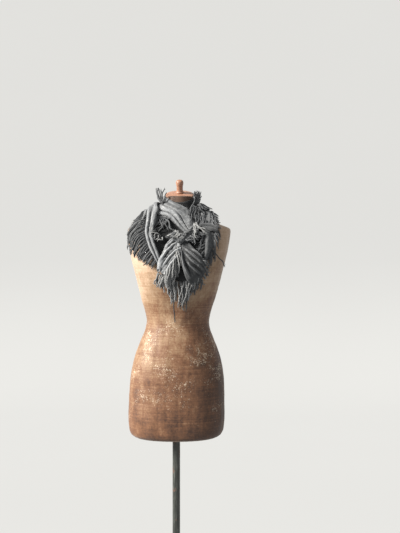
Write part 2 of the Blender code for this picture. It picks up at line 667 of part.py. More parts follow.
def main():
    """Clears the scene and builds every piece into one collection."""
    for thing in list(bpy.data.objects):
        bpy.data.objects.remove(thing)
    collection = bpy.data.collections.new("fringed_scarf_on_dress_form")
    bpy.context.scene.collection.children.link(collection)

    shell = material("varnished_papier_mache", (0.36, 0.20, 0.11), 0.55)
    wood = material("turned_waxed_wood", (0.42, 0.24, 0.15), 0.45)
    iron = material("blackened_iron_pipe", (0.06, 0.065, 0.06), 0.5, 0.9)
    cast = material("cast_iron_base", (0.04, 0.04, 0.04), 0.6, 0.8)
    finish("dress_form", form_body(), shell, collection)
    lean = LEAN * NECK_TOP
    slant = Vector((0, -math.sin(NECK_TILT), math.cos(NECK_TILT)))
    top = Vector((lean, 0, HEM_HEIGHT + NECK_TOP))
    finish("neck_cap", turned(CAP_PROFILE, 28, top + slant * GAP, NECK_TILT), wood, collection)
    seat = top + slant * (CAP_PROFILE[-1][1] + 2 * GAP)
    finish("cap_knob", turned(KNOB_PROFILE, 16, seat, NECK_TILT), wood, collection)
    pole = ((POLE_RADIUS, POLE_FOOT), (POLE_RADIUS, HEM_HEIGHT + POLE_IN_FORM))
    finish("pole", turned(pole, 20), iron, collection)
    finish("base_plate", turned(BASE_PROFILE, 32), cast, collection)

    wool = material("charcoal_wool_weave", (0.17, 0.17, 0.165), 0.95)
    yarn = material("charcoal_wool_fringe", (0.14, 0.14, 0.138), 0.95)
    finish("yoke", ring(YOKE_EDGE, YOKE_FOLDS, 60, 7, 15), wool, collection)
    cloths = {
        "collar_wrap": (COLLAR, COLLAR_FOLDS, 34, 10),
        "outer_loop": (LOOP, LOOP_FOLDS, 46, 7),
        "left_tail": (LEFT_TAIL, LEFT_TAIL_FOLDS, 10, 10),
        "right_tail": (RIGHT_TAIL, RIGHT_TAIL_FOLDS, 10, 12),
        "cross_band": (CROSS_BAND, BAND_FOLDS, 10, 6),
        "right_flap": (RIGHT_FLAP, BAND_FOLDS, 10, 6),
    }
    paths = {}
    for name, (table, folds, along, across) in cloths.items():
        paths[name] = Path(CLOTH_COLUMNS, table)
        finish(name, strip(paths[name], folds, along, across), wool, collection)

    def edge(name, where, rows):
        return edge_path(paths[name], cloths[name][1], where, rows)

    fringes = {
        "fringe_left": (edge("outer_loop", "below", LEFT_FRINGE), 30, 3),
        "fringe_right": (edge("outer_loop", "below", RIGHT_FRINGE), 22, 2),
        "fringe_back": (yoke_path(BACK_FRINGE, 3.0), 32, 2),
        "fringe_point": (yoke_path(POINT_FRINGE, 2.6), 25, 3),
        "fringe_left_tail": (edge("left_tail", "end", LEFT_TAIL_END), 6, 2),
        "fringe_left_tail_side": (edge("left_tail", "above", LEFT_TAIL_SIDE), 12, 3),
        "fringe_right_tail": (edge("right_tail", "end", RIGHT_TAIL_END), 7, 2),
        "fringe_right_tail_side": (edge("right_tail", "above", RIGHT_TAIL_SIDE), 8, 2),
        "fringe_cross": (edge("cross_band", "below", CROSS_FRINGE), 8, 2),
        "fringe_hollow_right": (edge("outer_loop", "above", HOLLOW_RIGHT), 9, 2),
        "fringe_hollow_left": (edge("collar_wrap", "below", HOLLOW_LEFT), 12, 2),
        "fringe_tuft_left": (Path(FREE_COLUMNS, TUFT_LEFT), 5, 3),
        "fringe_tuft_right": (Path(FREE_COLUMNS, TUFT_RIGHT), 7, 3),
        "fringe_shoulder": (Path(FREE_COLUMNS, SHOULDER), 11, 2),
        "fringe_middle": (Path(FREE_COLUMNS, MIDDLE), 5, 2),
    }
    for seed, (name, (path, strands, steps)) in enumerate(fringes.items()):
        finish(name, fringe(path, strands, steps, seed), yarn, collection)


if __name__ == "__main__":
    main()
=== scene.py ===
"""A fringed wool scarf wound round the neck of a papier-mache dress form on a stand: its finished look.

Metres, +Z up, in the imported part's own frame; the front of the form faces -Y.
Angles run round the neck: 0 is the front, 90 the wearer's left side at +X, 180 the nape.
A drop is measured down the cloth from the rim of the neck, and a lift is out from it.
"""

import math
from functools import partial

import bmesh
import bpy
import numpy as np
from mathutils import Matrix, Vector


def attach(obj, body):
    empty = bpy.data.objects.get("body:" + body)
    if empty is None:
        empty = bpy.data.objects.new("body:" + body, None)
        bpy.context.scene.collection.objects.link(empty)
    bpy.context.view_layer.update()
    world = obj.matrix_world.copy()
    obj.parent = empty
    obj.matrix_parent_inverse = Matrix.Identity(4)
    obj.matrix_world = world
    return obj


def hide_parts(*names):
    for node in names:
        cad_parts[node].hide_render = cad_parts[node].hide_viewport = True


bl_info = {
    "name": "Fringed scarf on a dress form",
    "version": (1, 0, 0),
    "blender": (4, 5, 0),
    "location": "View3D > Sidebar > Scarf",
    "description": "Builds a fringed scarf, the dress form that wears it and a plain studio",
    "category": "Object",
}

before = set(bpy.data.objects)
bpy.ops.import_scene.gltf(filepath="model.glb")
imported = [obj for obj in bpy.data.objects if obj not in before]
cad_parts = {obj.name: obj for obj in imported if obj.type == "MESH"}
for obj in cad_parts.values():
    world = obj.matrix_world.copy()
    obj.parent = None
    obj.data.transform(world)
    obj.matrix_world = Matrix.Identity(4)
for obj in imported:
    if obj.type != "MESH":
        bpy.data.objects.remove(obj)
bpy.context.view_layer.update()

MM = 0.001
GAP = 0.3 * MM

# The stand
HEM_HEIGHT = 0.651
POLE_RADIUS = 13.5 * MM
POLE_IN_FORM = 0.120

# The form, with heights above its hem
NECK_TOP = 0.861
NECK_TILT = math.radians(22.5)
LEAN = 12.5 * MM / NECK_TOP

FORM_COLUMNS = ("height", "half_width", "front", "back", "square")
FORM_SECTIONS = (
    (0.000, 0.126, 0.074, 0.084, 2.3),
    (0.005, 0.146, 0.090, 0.102, 2.3),
    (0.014, 0.160, 0.101, 0.115, 2.3),
    (0.030, 0.167, 0.107, 0.122, 2.3),
    (0.079, 0.171, 0.112, 0.128, 2.3),
    (0.139, 0.171, 0.113, 0.130, 2.2),
    (0.199, 0.168, 0.112, 0.128, 2.2),
    (0.249, 0.161, 0.109, 0.123, 2.2),
    (0.299, 0.149, 0.103, 0.114, 2.1),
    (0.349, 0.130, 0.094, 0.102, 2.1),
    (0.384, 0.116, 0.088, 0.095, 2.1),
    (0.411, 0.111, 0.086, 0.093, 2.1),
    (0.439, 0.115, 0.088, 0.095, 2.1),
    (0.489, 0.130, 0.100, 0.101, 2.1),
    (0.539, 0.143, 0.117, 0.107, 2.2),
    (0.589, 0.156, 0.127, 0.111, 2.3),
    (0.629, 0.166, 0.121, 0.113, 2.5),
    (0.669, 0.174, 0.107, 0.113, 2.8),
    (0.709, 0.180, 0.089, 0.109, 3.0),
    (0.736, 0.183, 0.076, 0.101, 3.0),
    (0.744, 0.181, 0.073, 0.097, 2.8),
    (0.750, 0.170, 0.071, 0.093, 2.6),
    (0.759, 0.145, 0.069, 0.087, 2.4),
    (0.771, 0.113, 0.066, 0.078, 2.2),
    (0.782, 0.084, 0.062, 0.069, 2.1),
    (0.792, 0.065, 0.058, 0.061, 2.0),
    (0.805, 0.056, 0.054, 0.055, 2.0),
    (0.824, 0.052, 0.051, 0.051, 2.0),
    (0.889, 0.049, 0.049, 0.049, 2.0),
)


def column(table, columns, name):
    """One named column of a table, as an array."""
    return np.array([row[columns.index(name)] for row in table], float)


def smooth(at, x, y):
    """A curve through the points (x, y) that never overshoots them, read at the places at."""
    h = np.diff(x)
    slope = np.diff(y) / h
    same = slope[:-1] * slope[1:] > 0
    total = np.where(same, slope[:-1] + slope[1:], 1.0)
    inner = np.where(same, 2 * slope[:-1] * slope[1:] / total, 0.0)
    grade = np.concatenate([[slope[0]], inner, [slope[-1]]])
    at = np.clip(at, x[0], x[-1])
    k = np.clip(np.searchsorted(x, at, side="right") - 1, 0, len(h) - 1)
    t = (at - x[k]) / h[k]
    start = (1 + 2 * t) * (1 - t) ** 2 * y[k] + t * (1 - t) ** 2 * h[k] * grade[k]
    end = t**2 * (3 - 2 * t) * y[k + 1] + t**2 * (t - 1) * h[k] * grade[k + 1]
    return start + end


def form_radius(angle, height):
    """How far the form reaches from its own axis, at an angle in radians and a height above the hem."""
    at = column(FORM_SECTIONS, FORM_COLUMNS, "height")
    side, front, back, square = (
        smooth(height, at, column(FORM_SECTIONS, FORM_COLUMNS, name)) for name in FORM_COLUMNS[1:]
    )
    deep = np.where(np.cos(angle) > 0, front, back)
    across = np.abs(np.sin(angle) / side) ** square
    along = np.abs(np.cos(angle) / deep) ** square
    return (across + along) ** (-1 / square)


def form_point(angle, radius, height):
    """A point round the form's leaning axis."""
    x = LEAN * height + radius * np.sin(angle)
    return np.stack([x, -radius * np.cos(angle), HEM_HEIGHT + height], axis=-1)


def run_along(points, axis=0):
    """How far each point lies along its line, whose points follow each other on an axis of the array."""
    steps = np.linalg.norm(np.diff(points, axis=axis), axis=-1)
    return np.insert(np.cumsum(steps, axis=axis), 0, 0, axis=axis)


# The hang of the scarf over neck, shoulders and chest: rings from the rim of the neck outward,
# with each ring's reach from the neck's axis and its height over the neck's top, in millimetres
HANG_COLUMNS = (
    "front_reach", "front_height", "side_reach", "side_height", "back_reach", "back_height", "square",
)
HANG_RINGS = (
    (51.5, -24, 50.8, -4, 50.8, 4, 2.0),
    (56.0, -50, 55.0, -28, 55.0, -22, 2.0),
    (66.0, -80, 70.0, -50, 68.0, -52, 2.0),
    (80.0, -115, 96.0, -66, 86.0, -92, 2.1),
    (97.0, -160, 130.0, -80, 106.0, -135, 2.2),
    (117.0, -205, 166.0, -95, 120.0, -178, 2.6),
    (130.0, -250, 187.0, -114, 119.0, -222, 2.7),
    (132.0, -292, 192.0, -150, 117.0, -266, 2.6),
    (120.0, -338, 184.0, -200, 112.0, -310, 2.5),
    (107.0, -385, 170.0, -255, 106.0, -355, 2.4),
    (95.0, -430, 152.0, -310, 99.0, -400, 2.3),
    (90.0, -475, 134.0, -365, 98.0, -445, 2.2),
)
ANGLE_STEP = math.radians(1.5)
DROP_STEP = 2 * MM
LONGEST_DROP = 0.50
FINE_STEPS = 400
CARRIED_ON = 100


def hang_meridian(angle):
    """The hang's line from the neck's rim downward at one angle, in even steps; it ends straight."""
    rings = {name: column(HANG_RINGS, HANG_COLUMNS, name) for name in HANG_COLUMNS}
    end = "front" if math.cos(angle) > 0 else "back"
    across = np.abs(math.sin(angle) / (rings["side_reach"] * MM)) ** rings["square"]
    along = np.abs(math.cos(angle) / (rings[f"{end}_reach"] * MM)) ** rings["square"]
    radius = (across + along) ** (-1 / rings["square"])
    turn = math.cos(angle) ** 2
    height = (turn * rings[f"{end}_height"] + (1 - turn) * rings["side_height"]) * MM
    ring = np.arange(len(HANG_RINGS), dtype=float)
    fine = np.linspace(0, len(HANG_RINGS) - 1, FINE_STEPS)
    line = form_point(angle, smooth(fine, ring, radius), NECK_TOP + smooth(fine, ring, height))
    line = np.vstack([line, line[-1] + CARRIED_ON * (line[-1] - line[-2])])
    steps = np.arange(0, LONGEST_DROP, DROP_STEP)
    return np.stack([np.interp(steps, run_along(line), line[:, i]) for i in range(3)], axis=-1)


def hang_grid():
    """Points of the hang and its outward normals, by angle and drop."""
    angles = np.arange(-math.pi, math.pi - ANGLE_STEP / 2, ANGLE_STEP)
    points = np.stack([hang_meridian(a) for a in angles])
    round_it = np.roll(points, -1, axis=0) - np.roll(points, 1, axis=0)
    down = np.gradient(points, axis=1)
    normals = np.cross(down, round_it)
    return points, normals / np.linalg.norm(normals, axis=-1, keepdims=True)


HANG, OUTWARD = hang_grid()
ANGLES, DROPS = HANG.shape[:2]


def read_grid(grid, angle, drop):
    """The grid's value between its points; it goes round in angle and straight on past its ends in drop."""
    across = (np.asarray(angle, float) + math.pi) / ANGLE_STEP
    down = np.asarray(drop, float) / DROP_STEP
    i = np.floor(across).astype(int)
    j = np.clip(np.floor(down).astype(int), 0, DROPS - 2)
    s = (across - i)[..., None]
    t = (down - j)[..., None]
    left, right = i % ANGLES, (i + 1) % ANGLES
    upper = (1 - s) * grid[left, j] + s * grid[right, j]
    lower = (1 - s) * grid[left, j + 1] + s * grid[right, j + 1]
    return (1 - t) * upper + t * lower


def outward(angle, drop):
    """The way out from the hang at its places."""
    return read_grid(OUTWARD, angle, np.clip(drop, 0, LONGEST_DROP))


def on_hang(angle, drop, lift):
    """Points lifted off the hang; angle in radians, drop and lift in metres."""
    out = outward(angle, drop)
    out = out / np.linalg.norm(out, axis=-1, keepdims=True)
    return read_grid(HANG, angle, drop) + out * np.asarray(lift)[..., None]


def girth(angle, drop):
    """How far apart two places of the hang are, for each radian between them."""
    step = ANGLE_STEP / 2
    ends = [read_grid(HANG, angle + way * step, np.clip(drop, 0, LONGEST_DROP)) for way in (-1, 1)]
    return np.linalg.norm(ends[1] - ends[0], axis=-1) / (2 * step)


# The part of a path over which its heading is read, on both sides of a place
NEARBY = 0.004


class Path:
    """A line over the hang through the rows of a table, and what else the table gives along it."""

    def __init__(self, columns, rows):
        self.columns = columns
        self.rows = np.array(rows, float)
        line = on_hang(np.radians(self.rows[:, 0]), self.rows[:, 1] * MM, np.zeros(len(rows)))
        self.run = run_along(line)
        self.length = self.run[-1]

    def value(self, name, along):
        """A column's value at parts 0 to 1 of the path's length."""
        return smooth(np.asarray(along) * self.length, self.run, self.rows[:, self.columns.index(name)])

    def width(self, along, across):
        """A cloth's width in metres, on the side that a place across it is on: below 0 is above the path."""
        return np.where(across < 0, self.value("above", along), self.value("below", along)) * MM

    def place(self, along, ahead, beside):
        """Angle and drop of points off the path: ahead of a place on it and beside it, in metres."""
        before, after = (np.clip(along + way * NEARBY, 0, 1) for way in (-1, 1))
        turn = np.radians(self.value("angle", after) - self.value("angle", before))
        fall = (self.value("drop", after) - self.value("drop", before)) * MM
        angle = np.radians(self.value("angle", along))
        drop = self.value("drop", along) * MM
        wide = girth(angle, drop)
        size = np.hypot(turn * wide, fall)
        right, down = turn * wide / size, fall / size
        there = drop + down * beside + right * ahead
        wide = (wide + girth(angle, there)) / 2
        return angle + (right * beside - down * ahead) / wide, there


# Each step of the underside: share of the hem's reach, or a plain radius, and height over the hem
FORM_UNDERSIDE = (
    (0.90, 0.0, 0.0),
    (0.90, 0.0, 0.016),
    (0.0, POLE_RADIUS + GAP, 0.016),
    (0.0, POLE_RADIUS + GAP, POLE_IN_FORM + GAP),
)

# Turned parts as steps of radius and height, in metres
BASE_PROFILE = (
    (0.150, 0.000), (0.168, 0.001), (0.170, 0.005), (0.169, 0.010), (0.163, 0.014), (0.120, 0.018),
    (0.062, 0.024), (0.036, 0.032), (0.025, 0.046), (0.022, 0.074), (0.019, 0.078),
    (POLE_RADIUS + GAP, 0.078), (POLE_RADIUS + GAP, 0.040),
)
POLE_FOOT = 0.0403
CAP_PROFILE = (
    (0.0455, 0.0000), (0.0495, 0.0012), (0.0505, 0.0035), (0.0498, 0.0060), (0.0450, 0.0078),
    (0.0330, 0.0098), (0.0190, 0.0110), (0.0160, 0.0112),
)
KNOB_PROFILE = (
    (0.0125, 0.0000), (0.0140, 0.0012), (0.0138, 0.0040), (0.0122, 0.0070), (0.0112, 0.0140),
    (0.0113, 0.0220), (0.0124, 0.0295), (0.0134, 0.0350), (0.0132, 0.0400), (0.0112, 0.0445),
    (0.0070, 0.0474), (0.0030, 0.0482),
)

# Cloth tables: angle in degrees, the rest in millimetres; above and below are the widths to each side
CLOTH_COLUMNS = ("angle", "drop", "above", "below", "lift", "fold")
COLLAR = (
    (-225, 40, 28, 40, 8.4, 0.3), (-180, 40, 30, 44, 8.4, 0.3), (-150, 37, 28, 45, 8.4, 0.4),
    (-120, 32, 27, 48, 8.4, 0.6), (-95, 27, 25, 54, 8.4, 0.8), (-70, 24, 25, 60, 8.4, 1.0),
    (-45, 26, 26, 60, 8.4, 1.0), (-30, 30, 28, 54, 8.4, 1.0), (-15, 37, 30, 46, 8.4, 1.0),
    (0, 52, 33, 38, 8.4, 1.0), (8, 68, 38, 32, 8.4, 0.9), (16, 90, 41, 26, 8.4, 0.8),
    (23, 114, 38, 19, 8.4, 0.6), (30, 142, 28, 12, 8.4, 0.4),
)
LOOP = (
    (31, 258, 12, 12, 9.2, 0.6), (36, 236, 14, 14, 10.6, 0.8), (41, 202, 16, 18, 11.5, 1.0),
    (45, 170, 18, 22, 12, 1.0), (51, 136, 20, 25, 12.5, 1.0), (60, 104, 24, 28, 12.5, 1.0),
    (76, 76, 28, 32, 12, 1.0), (98, 62, 30, 34, 12, 1.0), (116, 58, 31, 37, 16.5, 1.0),
    (134, 56, 32, 40, 21, 1.0), (180, 56, 34, 42, 21, 1.0), (220, 56, 32, 40, 22, 1.0),
    (260, 58, 30, 36, 24.5, 1.0), (282, 72, 28, 34, 24.5, 1.0), (298, 104, 26, 28, 20.5, 1.0),
    (308, 145, 22, 20, 15.5, 1.0), (313.5, 171, 19, 16, 13, 1.0), (322, 201, 16, 14, 12, 1.0),
    (329, 222, 14, 13, 11, 0.8), (335, 246, 12, 12, 9.2, 0.6),
)
LEFT_TAIL = (
    (0, 142, 9, 12, 19.0, 0.5), (-3, 162, 17.2, 24, 19.0, 1.0), (-9, 203, 28, 28, 18.4, 1.0),
    (-16.5, 241, 24, 22, 17.6, 1.0), (-22, 275, 16, 14, 17.5, 0.8),
)
RIGHT_TAIL = (
    (10, 156, 8, 7, 19.0, 0.5), (14, 184, 18, 14, 20.0, 1.0), (16, 210, 28, 23, 21.0, 1.0),
    (20, 238, 35, 32, 21.0, 1.0), (24, 264, 32, 35, 19.0, 1.0), (27, 296, 18, 24, 15.0, 0.6),
)
CROSS_BAND = (
    (1, 172, 8, 8, 27.8, 0.6), (8, 158, 12, 12, 27.6, 1.0), (17, 145, 13, 13, 27.4, 1.0),
    (26, 134, 13, 12, 26.6, 1.0), (34, 124, 10, 10, 25.2, 0.6),
)
RIGHT_FLAP = (
    (40, 123, 8, 8, 21.8, 0.5), (45, 136, 11, 11, 21.8, 1.0), (50, 153, 12, 12, 21.3, 1.0),
    (55, 174, 9, 9, 19.3, 0.6),
)

# The under layer: the drops of its edge and its top in millimetres, by angle in degrees
YOKE_EDGE = (
    (-180, 122, 3), (-145, 110, 3), (-115, 86, 3), (-92, 76, 3), (-76, 84, 3), (-62, 120, 3), (-50, 165, 3),
    (-40, 202, 3), (-30, 236, 3), (-18, 264, 3), (-7, 284, 3), (5, 292, 3), (18, 284, 3), (30, 260, 3),
    (38, 236, 3), (47, 200, 3), (55, 158, 3), (64, 120, 3), (76, 88, 3), (92, 76, 3), (115, 86, 3),
    (145, 110, 3), (180, 122, 3),
)
YOKE_PLEATS = 15
YOKE_LIFT = 1.3 * MM
YOKE_PLEAT_RISE = 4.6 * MM

# Cross sections of folded cloths: (place across, -1 to 1, and rise in mm) from edge to edge,
# and then the parts of a cloth's length that each section stands at
COLLAR_ROLLS = (
    (-1.0, 0.0), (-0.95, 2.6), (-0.75, 4.4), (-0.42, 4.2), (-0.16, 5.4), (-0.04, 4.4), (-0.02, 0.8),
    (0.05, 0.2), (0.06, 4.5), (0.16, 9.6), (0.32, 10.8), (0.45, 7.6), (0.47, 3.0), (0.43, 0.8), (0.50, 0.3),
    (0.54, 3.6), (0.63, 8.2), (0.76, 9.2), (0.86, 6.6), (0.87, 2.4), (0.83, 0.6), (0.91, 0.2), (1.0, 0.3),
)
COLLAR_TUCK = (
    (-1.0, 0.0), (-0.92, 2.0), (-0.72, 3.4), (-0.42, 4.6), (-0.2, 5.6), (-0.06, 4.6), (-0.03, 1.2),
    (0.06, 0.6), (0.10, 3.0), (0.2, 5.6), (0.34, 6.0), (0.44, 4.6), (0.5, 2.6), (0.52, 1.4), (0.56, 1.2),
    (0.6, 2.2), (0.66, 4.0), (0.76, 4.6), (0.84, 3.4), (0.88, 1.6), (0.89, 0.8), (0.93, 0.3), (1.0, 0.2),
)
COLLAR_SECTIONS = (
    (0.0, COLLAR_TUCK), (0.44, COLLAR_TUCK), (0.54, COLLAR_ROLLS), (0.74, COLLAR_ROLLS), (1.0, COLLAR_TUCK),
)
LOOP_ROLLS = (
    (-1.0, 0.0), (-1.0, 2.8), (-0.93, 6.0), (-0.72, 8.2), (-0.5, 8.0), (-0.36, 5.6), (-0.3, 3.4),
    (-0.25, 2.6), (-0.2, 3.2), (-0.15, 6.0), (-0.04, 9.2), (0.1, 10.0), (0.24, 8.0), (0.32, 4.6),
    (0.34, 1.6), (0.42, 0.6), (0.7, 0.8), (1.0, 0.2),
)
LOOP_SOFT = (
    (-1.0, 0.0), (-0.97, 2.2), (-0.84, 5.0), (-0.6, 6.0), (-0.4, 5.0), (-0.24, 3.0), (-0.16, 1.6),
    (-0.1, 1.0), (-0.02, 1.2), (0.06, 2.6), (0.16, 4.6), (0.32, 6.0), (0.48, 5.0), (0.6, 3.0), (0.66, 2.0),
    (0.74, 1.4), (0.86, 1.0), (1.0, 0.3),
)
LOOP_BOW = (
    (-1.0, 0.0), (-0.97, 0.6), (-0.9, 1.2), (-0.78, 2.0), (-0.66, 3.6), (-0.52, 7.0), (-0.36, 9.6),
    (-0.18, 10.4), (0.0, 10.0), (0.16, 8.6), (0.3, 6.4), (0.42, 4.2), (0.52, 2.6), (0.62, 1.6), (0.72, 1.0),
    (0.82, 0.7), (0.91, 0.4), (1.0, 0.2),
)
LOOP_SECTIONS = (
    (0.0, LOOP_SOFT), (0.05, LOOP_BOW), (0.18, LOOP_BOW), (0.26, LOOP_SOFT), (0.45, LOOP_SOFT),
    (0.6, LOOP_SOFT), (0.7, LOOP_ROLLS), (0.95, LOOP_ROLLS), (1.0, LOOP_SOFT),
)
LEFT_TAIL_SECTIONS = (
    (0.0, (
        (-1.0, 3.0), (-0.7, 3.4), (-0.4, 3.2), (-0.1, 3.0), (0.2, 2.6), (0.45, 2.6), (0.7, 3.0),
        (0.93, 2.6), (1.0, 1.6), (0.97, 0.5), (0.88, 0.3), (0.84, 0.9),
    )),
    (0.5, (
        (-1.0, 8.6), (-0.75, 8.2), (-0.5, 7.4), (-0.2, 6.4), (0.1, 5.2), (0.4, 4.2), (0.66, 3.6),
        (0.9, 3.4), (1.04, 2.2), (0.98, 0.6), (0.86, 0.3), (0.8, 1.4),
    )),
    (1.0, (
        (-1.0, 7.0), (-0.7, 6.4), (-0.4, 5.2), (-0.1, 4.0), (0.2, 3.4), (0.38, 5.0), (0.66, 9.2),
        (1.0, 9.0), (1.2, 5.0), (1.04, 0.6), (0.74, 0.4), (0.58, 3.4),
    )),
)
RIGHT_TAIL_SECTIONS = (
    (0.0, (
        (-1.0, 0.4), (-0.9, 1.6), (-0.7, 2.2), (-0.5, 2.0), (-0.25, 2.4), (0.0, 2.8), (0.25, 3.2),
        (0.5, 3.6), (0.75, 4.6), (0.95, 4.4), (1.02, 2.4), (0.98, 0.6),
    )),
    (0.5, (
        (-1.0, 0.4), (-0.96, 1.6), (-0.8, 2.2), (-0.55, 2.2), (-0.25, 3.2), (0.0, 4.2), (0.25, 5.2),
        (0.5, 6.2), (0.76, 7.6), (0.96, 7.4), (1.05, 4.2), (0.98, 0.8),
    )),
    (1.0, (
        (-1.0, 0.4), (-0.95, 1.6), (-0.8, 2.2), (-0.55, 2.2), (-0.25, 2.8), (0.0, 3.6), (0.25, 4.4),
        (0.5, 5.2), (0.76, 6.6), (0.96, 6.8), (1.05, 3.8), (0.98, 0.8),
    )),
)
BAND_ROLL = (
    (-1.0, 0.6), (-1.0, 3.0), (-0.75, 5.4), (-0.4, 5.8), (-0.1, 3.6), (-0.06, 1.4), (0.04, 1.0),
    (0.08, 3.0), (0.3, 5.0), (0.62, 5.2), (0.9, 3.6), (1.02, 1.6), (0.96, 0.4),
)
BAND_SECTIONS = ((0.0, BAND_ROLL), (1.0, BAND_ROLL))

# Single folds: height and width on the upper and lower side in mm, then (angle, drop) points
LEFT_TAIL_LINES = (
    (5.0, 2.2, 3.2, ((9, 184), (-4.5, 196), (-13.5, 218), (-21, 250))),
    (5.0, 2.2, 3.2, ((7.5, 202), (-3, 220), (-10.5, 238), (-15, 262))),
    (4.5, 2.0, 3.0, ((4.5, 217), (-3, 236), (-9, 256))),
    (4.2, 2.2, 3.2, ((0, 162), (-11, 178), (-19, 202), (-24, 234))),
    (3.6, 2.0, 3.0, ((-1, 150), (-12, 164), (-21, 188))),
)
RIGHT_TAIL_LINES = (
    (8.0, 3.2, 4.2, ((6, 160), (6, 196), (7.5, 224), (10.5, 248), (13.5, 262), (17, 280))),
    (6.5, 2.8, 2.6, ((12, 188), (21, 212), (27, 228), (34, 254))),
    (6.5, 2.8, 2.6, ((13, 208), (19.5, 227), (27, 246), (32, 264))),
    (5.0, 2.6, 2.6, ((13.5, 229), (19.5, 249), (25.5, 266), (30, 278))),
    (4.0, 2.2, 2.2, ((22, 196), (29, 214), (36, 236))),
)
COLLAR_LINES = (
    (2.6, 5.0, 8.0, ((-6, 34), (12, 44), (26, 70), (29, 110))),
    (2.0, 5.0, 7.0, ((6, 22), (22, 36), (33, 60))),
)
LOOP_LINES = (
    (3.0, 4.0, 6.0, ((37, 60), (52, 72), (60, 104))), (3.0, 4.0, 6.0, ((86, 40), (74, 66), (66, 100))),
)

# Each cloth's node, with its piece, path, sections, single folds, steps along and across, seed, how far its
# folds flare past its end, its painted light at its two ends (above 1 paler, below 1 painted shade), how
# strongly painted shade and highlight mark its folds and its edge's rise in mm
CLOTHS = {
    "collar_wrap": (
        "scarf_collar", COLLAR, COLLAR_SECTIONS, COLLAR_LINES,
        (260, 96), 11, 0.0, (0.94, 0.94), 1.0, 0.0,
    ),
    "outer_loop": (
        "scarf_loop", LOOP, LOOP_SECTIONS, LOOP_LINES,
        (380, 76), 21, 0.0, (0.3, 1.4), 1.2, 0.4,
    ),
    "left_tail": (
        "scarf_left_tail", LEFT_TAIL, LEFT_TAIL_SECTIONS, LEFT_TAIL_LINES,
        (120, 72), 31, 0.9, (2.0, 1.9), 1.9, 1.0,
    ),
    "right_tail": (
        "scarf_right_tail", RIGHT_TAIL, RIGHT_TAIL_SECTIONS, RIGHT_TAIL_LINES,
        (120, 84), 41, 0.0, (0.5, 0.24), 1.5, 1.0,
    ),
    "cross_band": ("scarf_band", CROSS_BAND, BAND_SECTIONS, (), (80, 56), 51, 0.0, (0.8, 0.8), 1.0, 0.0),
    "right_flap": ("scarf_flap", RIGHT_FLAP, BAND_SECTIONS, (), (60, 50), 71, 0.0, (0.3, 0.3), 1.0, 0.0),
}

# Columns of a fringe's path. Where it follows a cloth, its rows give the part of the edge, or the angle
# on the under layer, and then the strands' length, their turn from straight out and their tips' lift
FREE_COLUMNS = ("angle", "drop", "lift", "long", "heading", "tip_lift")
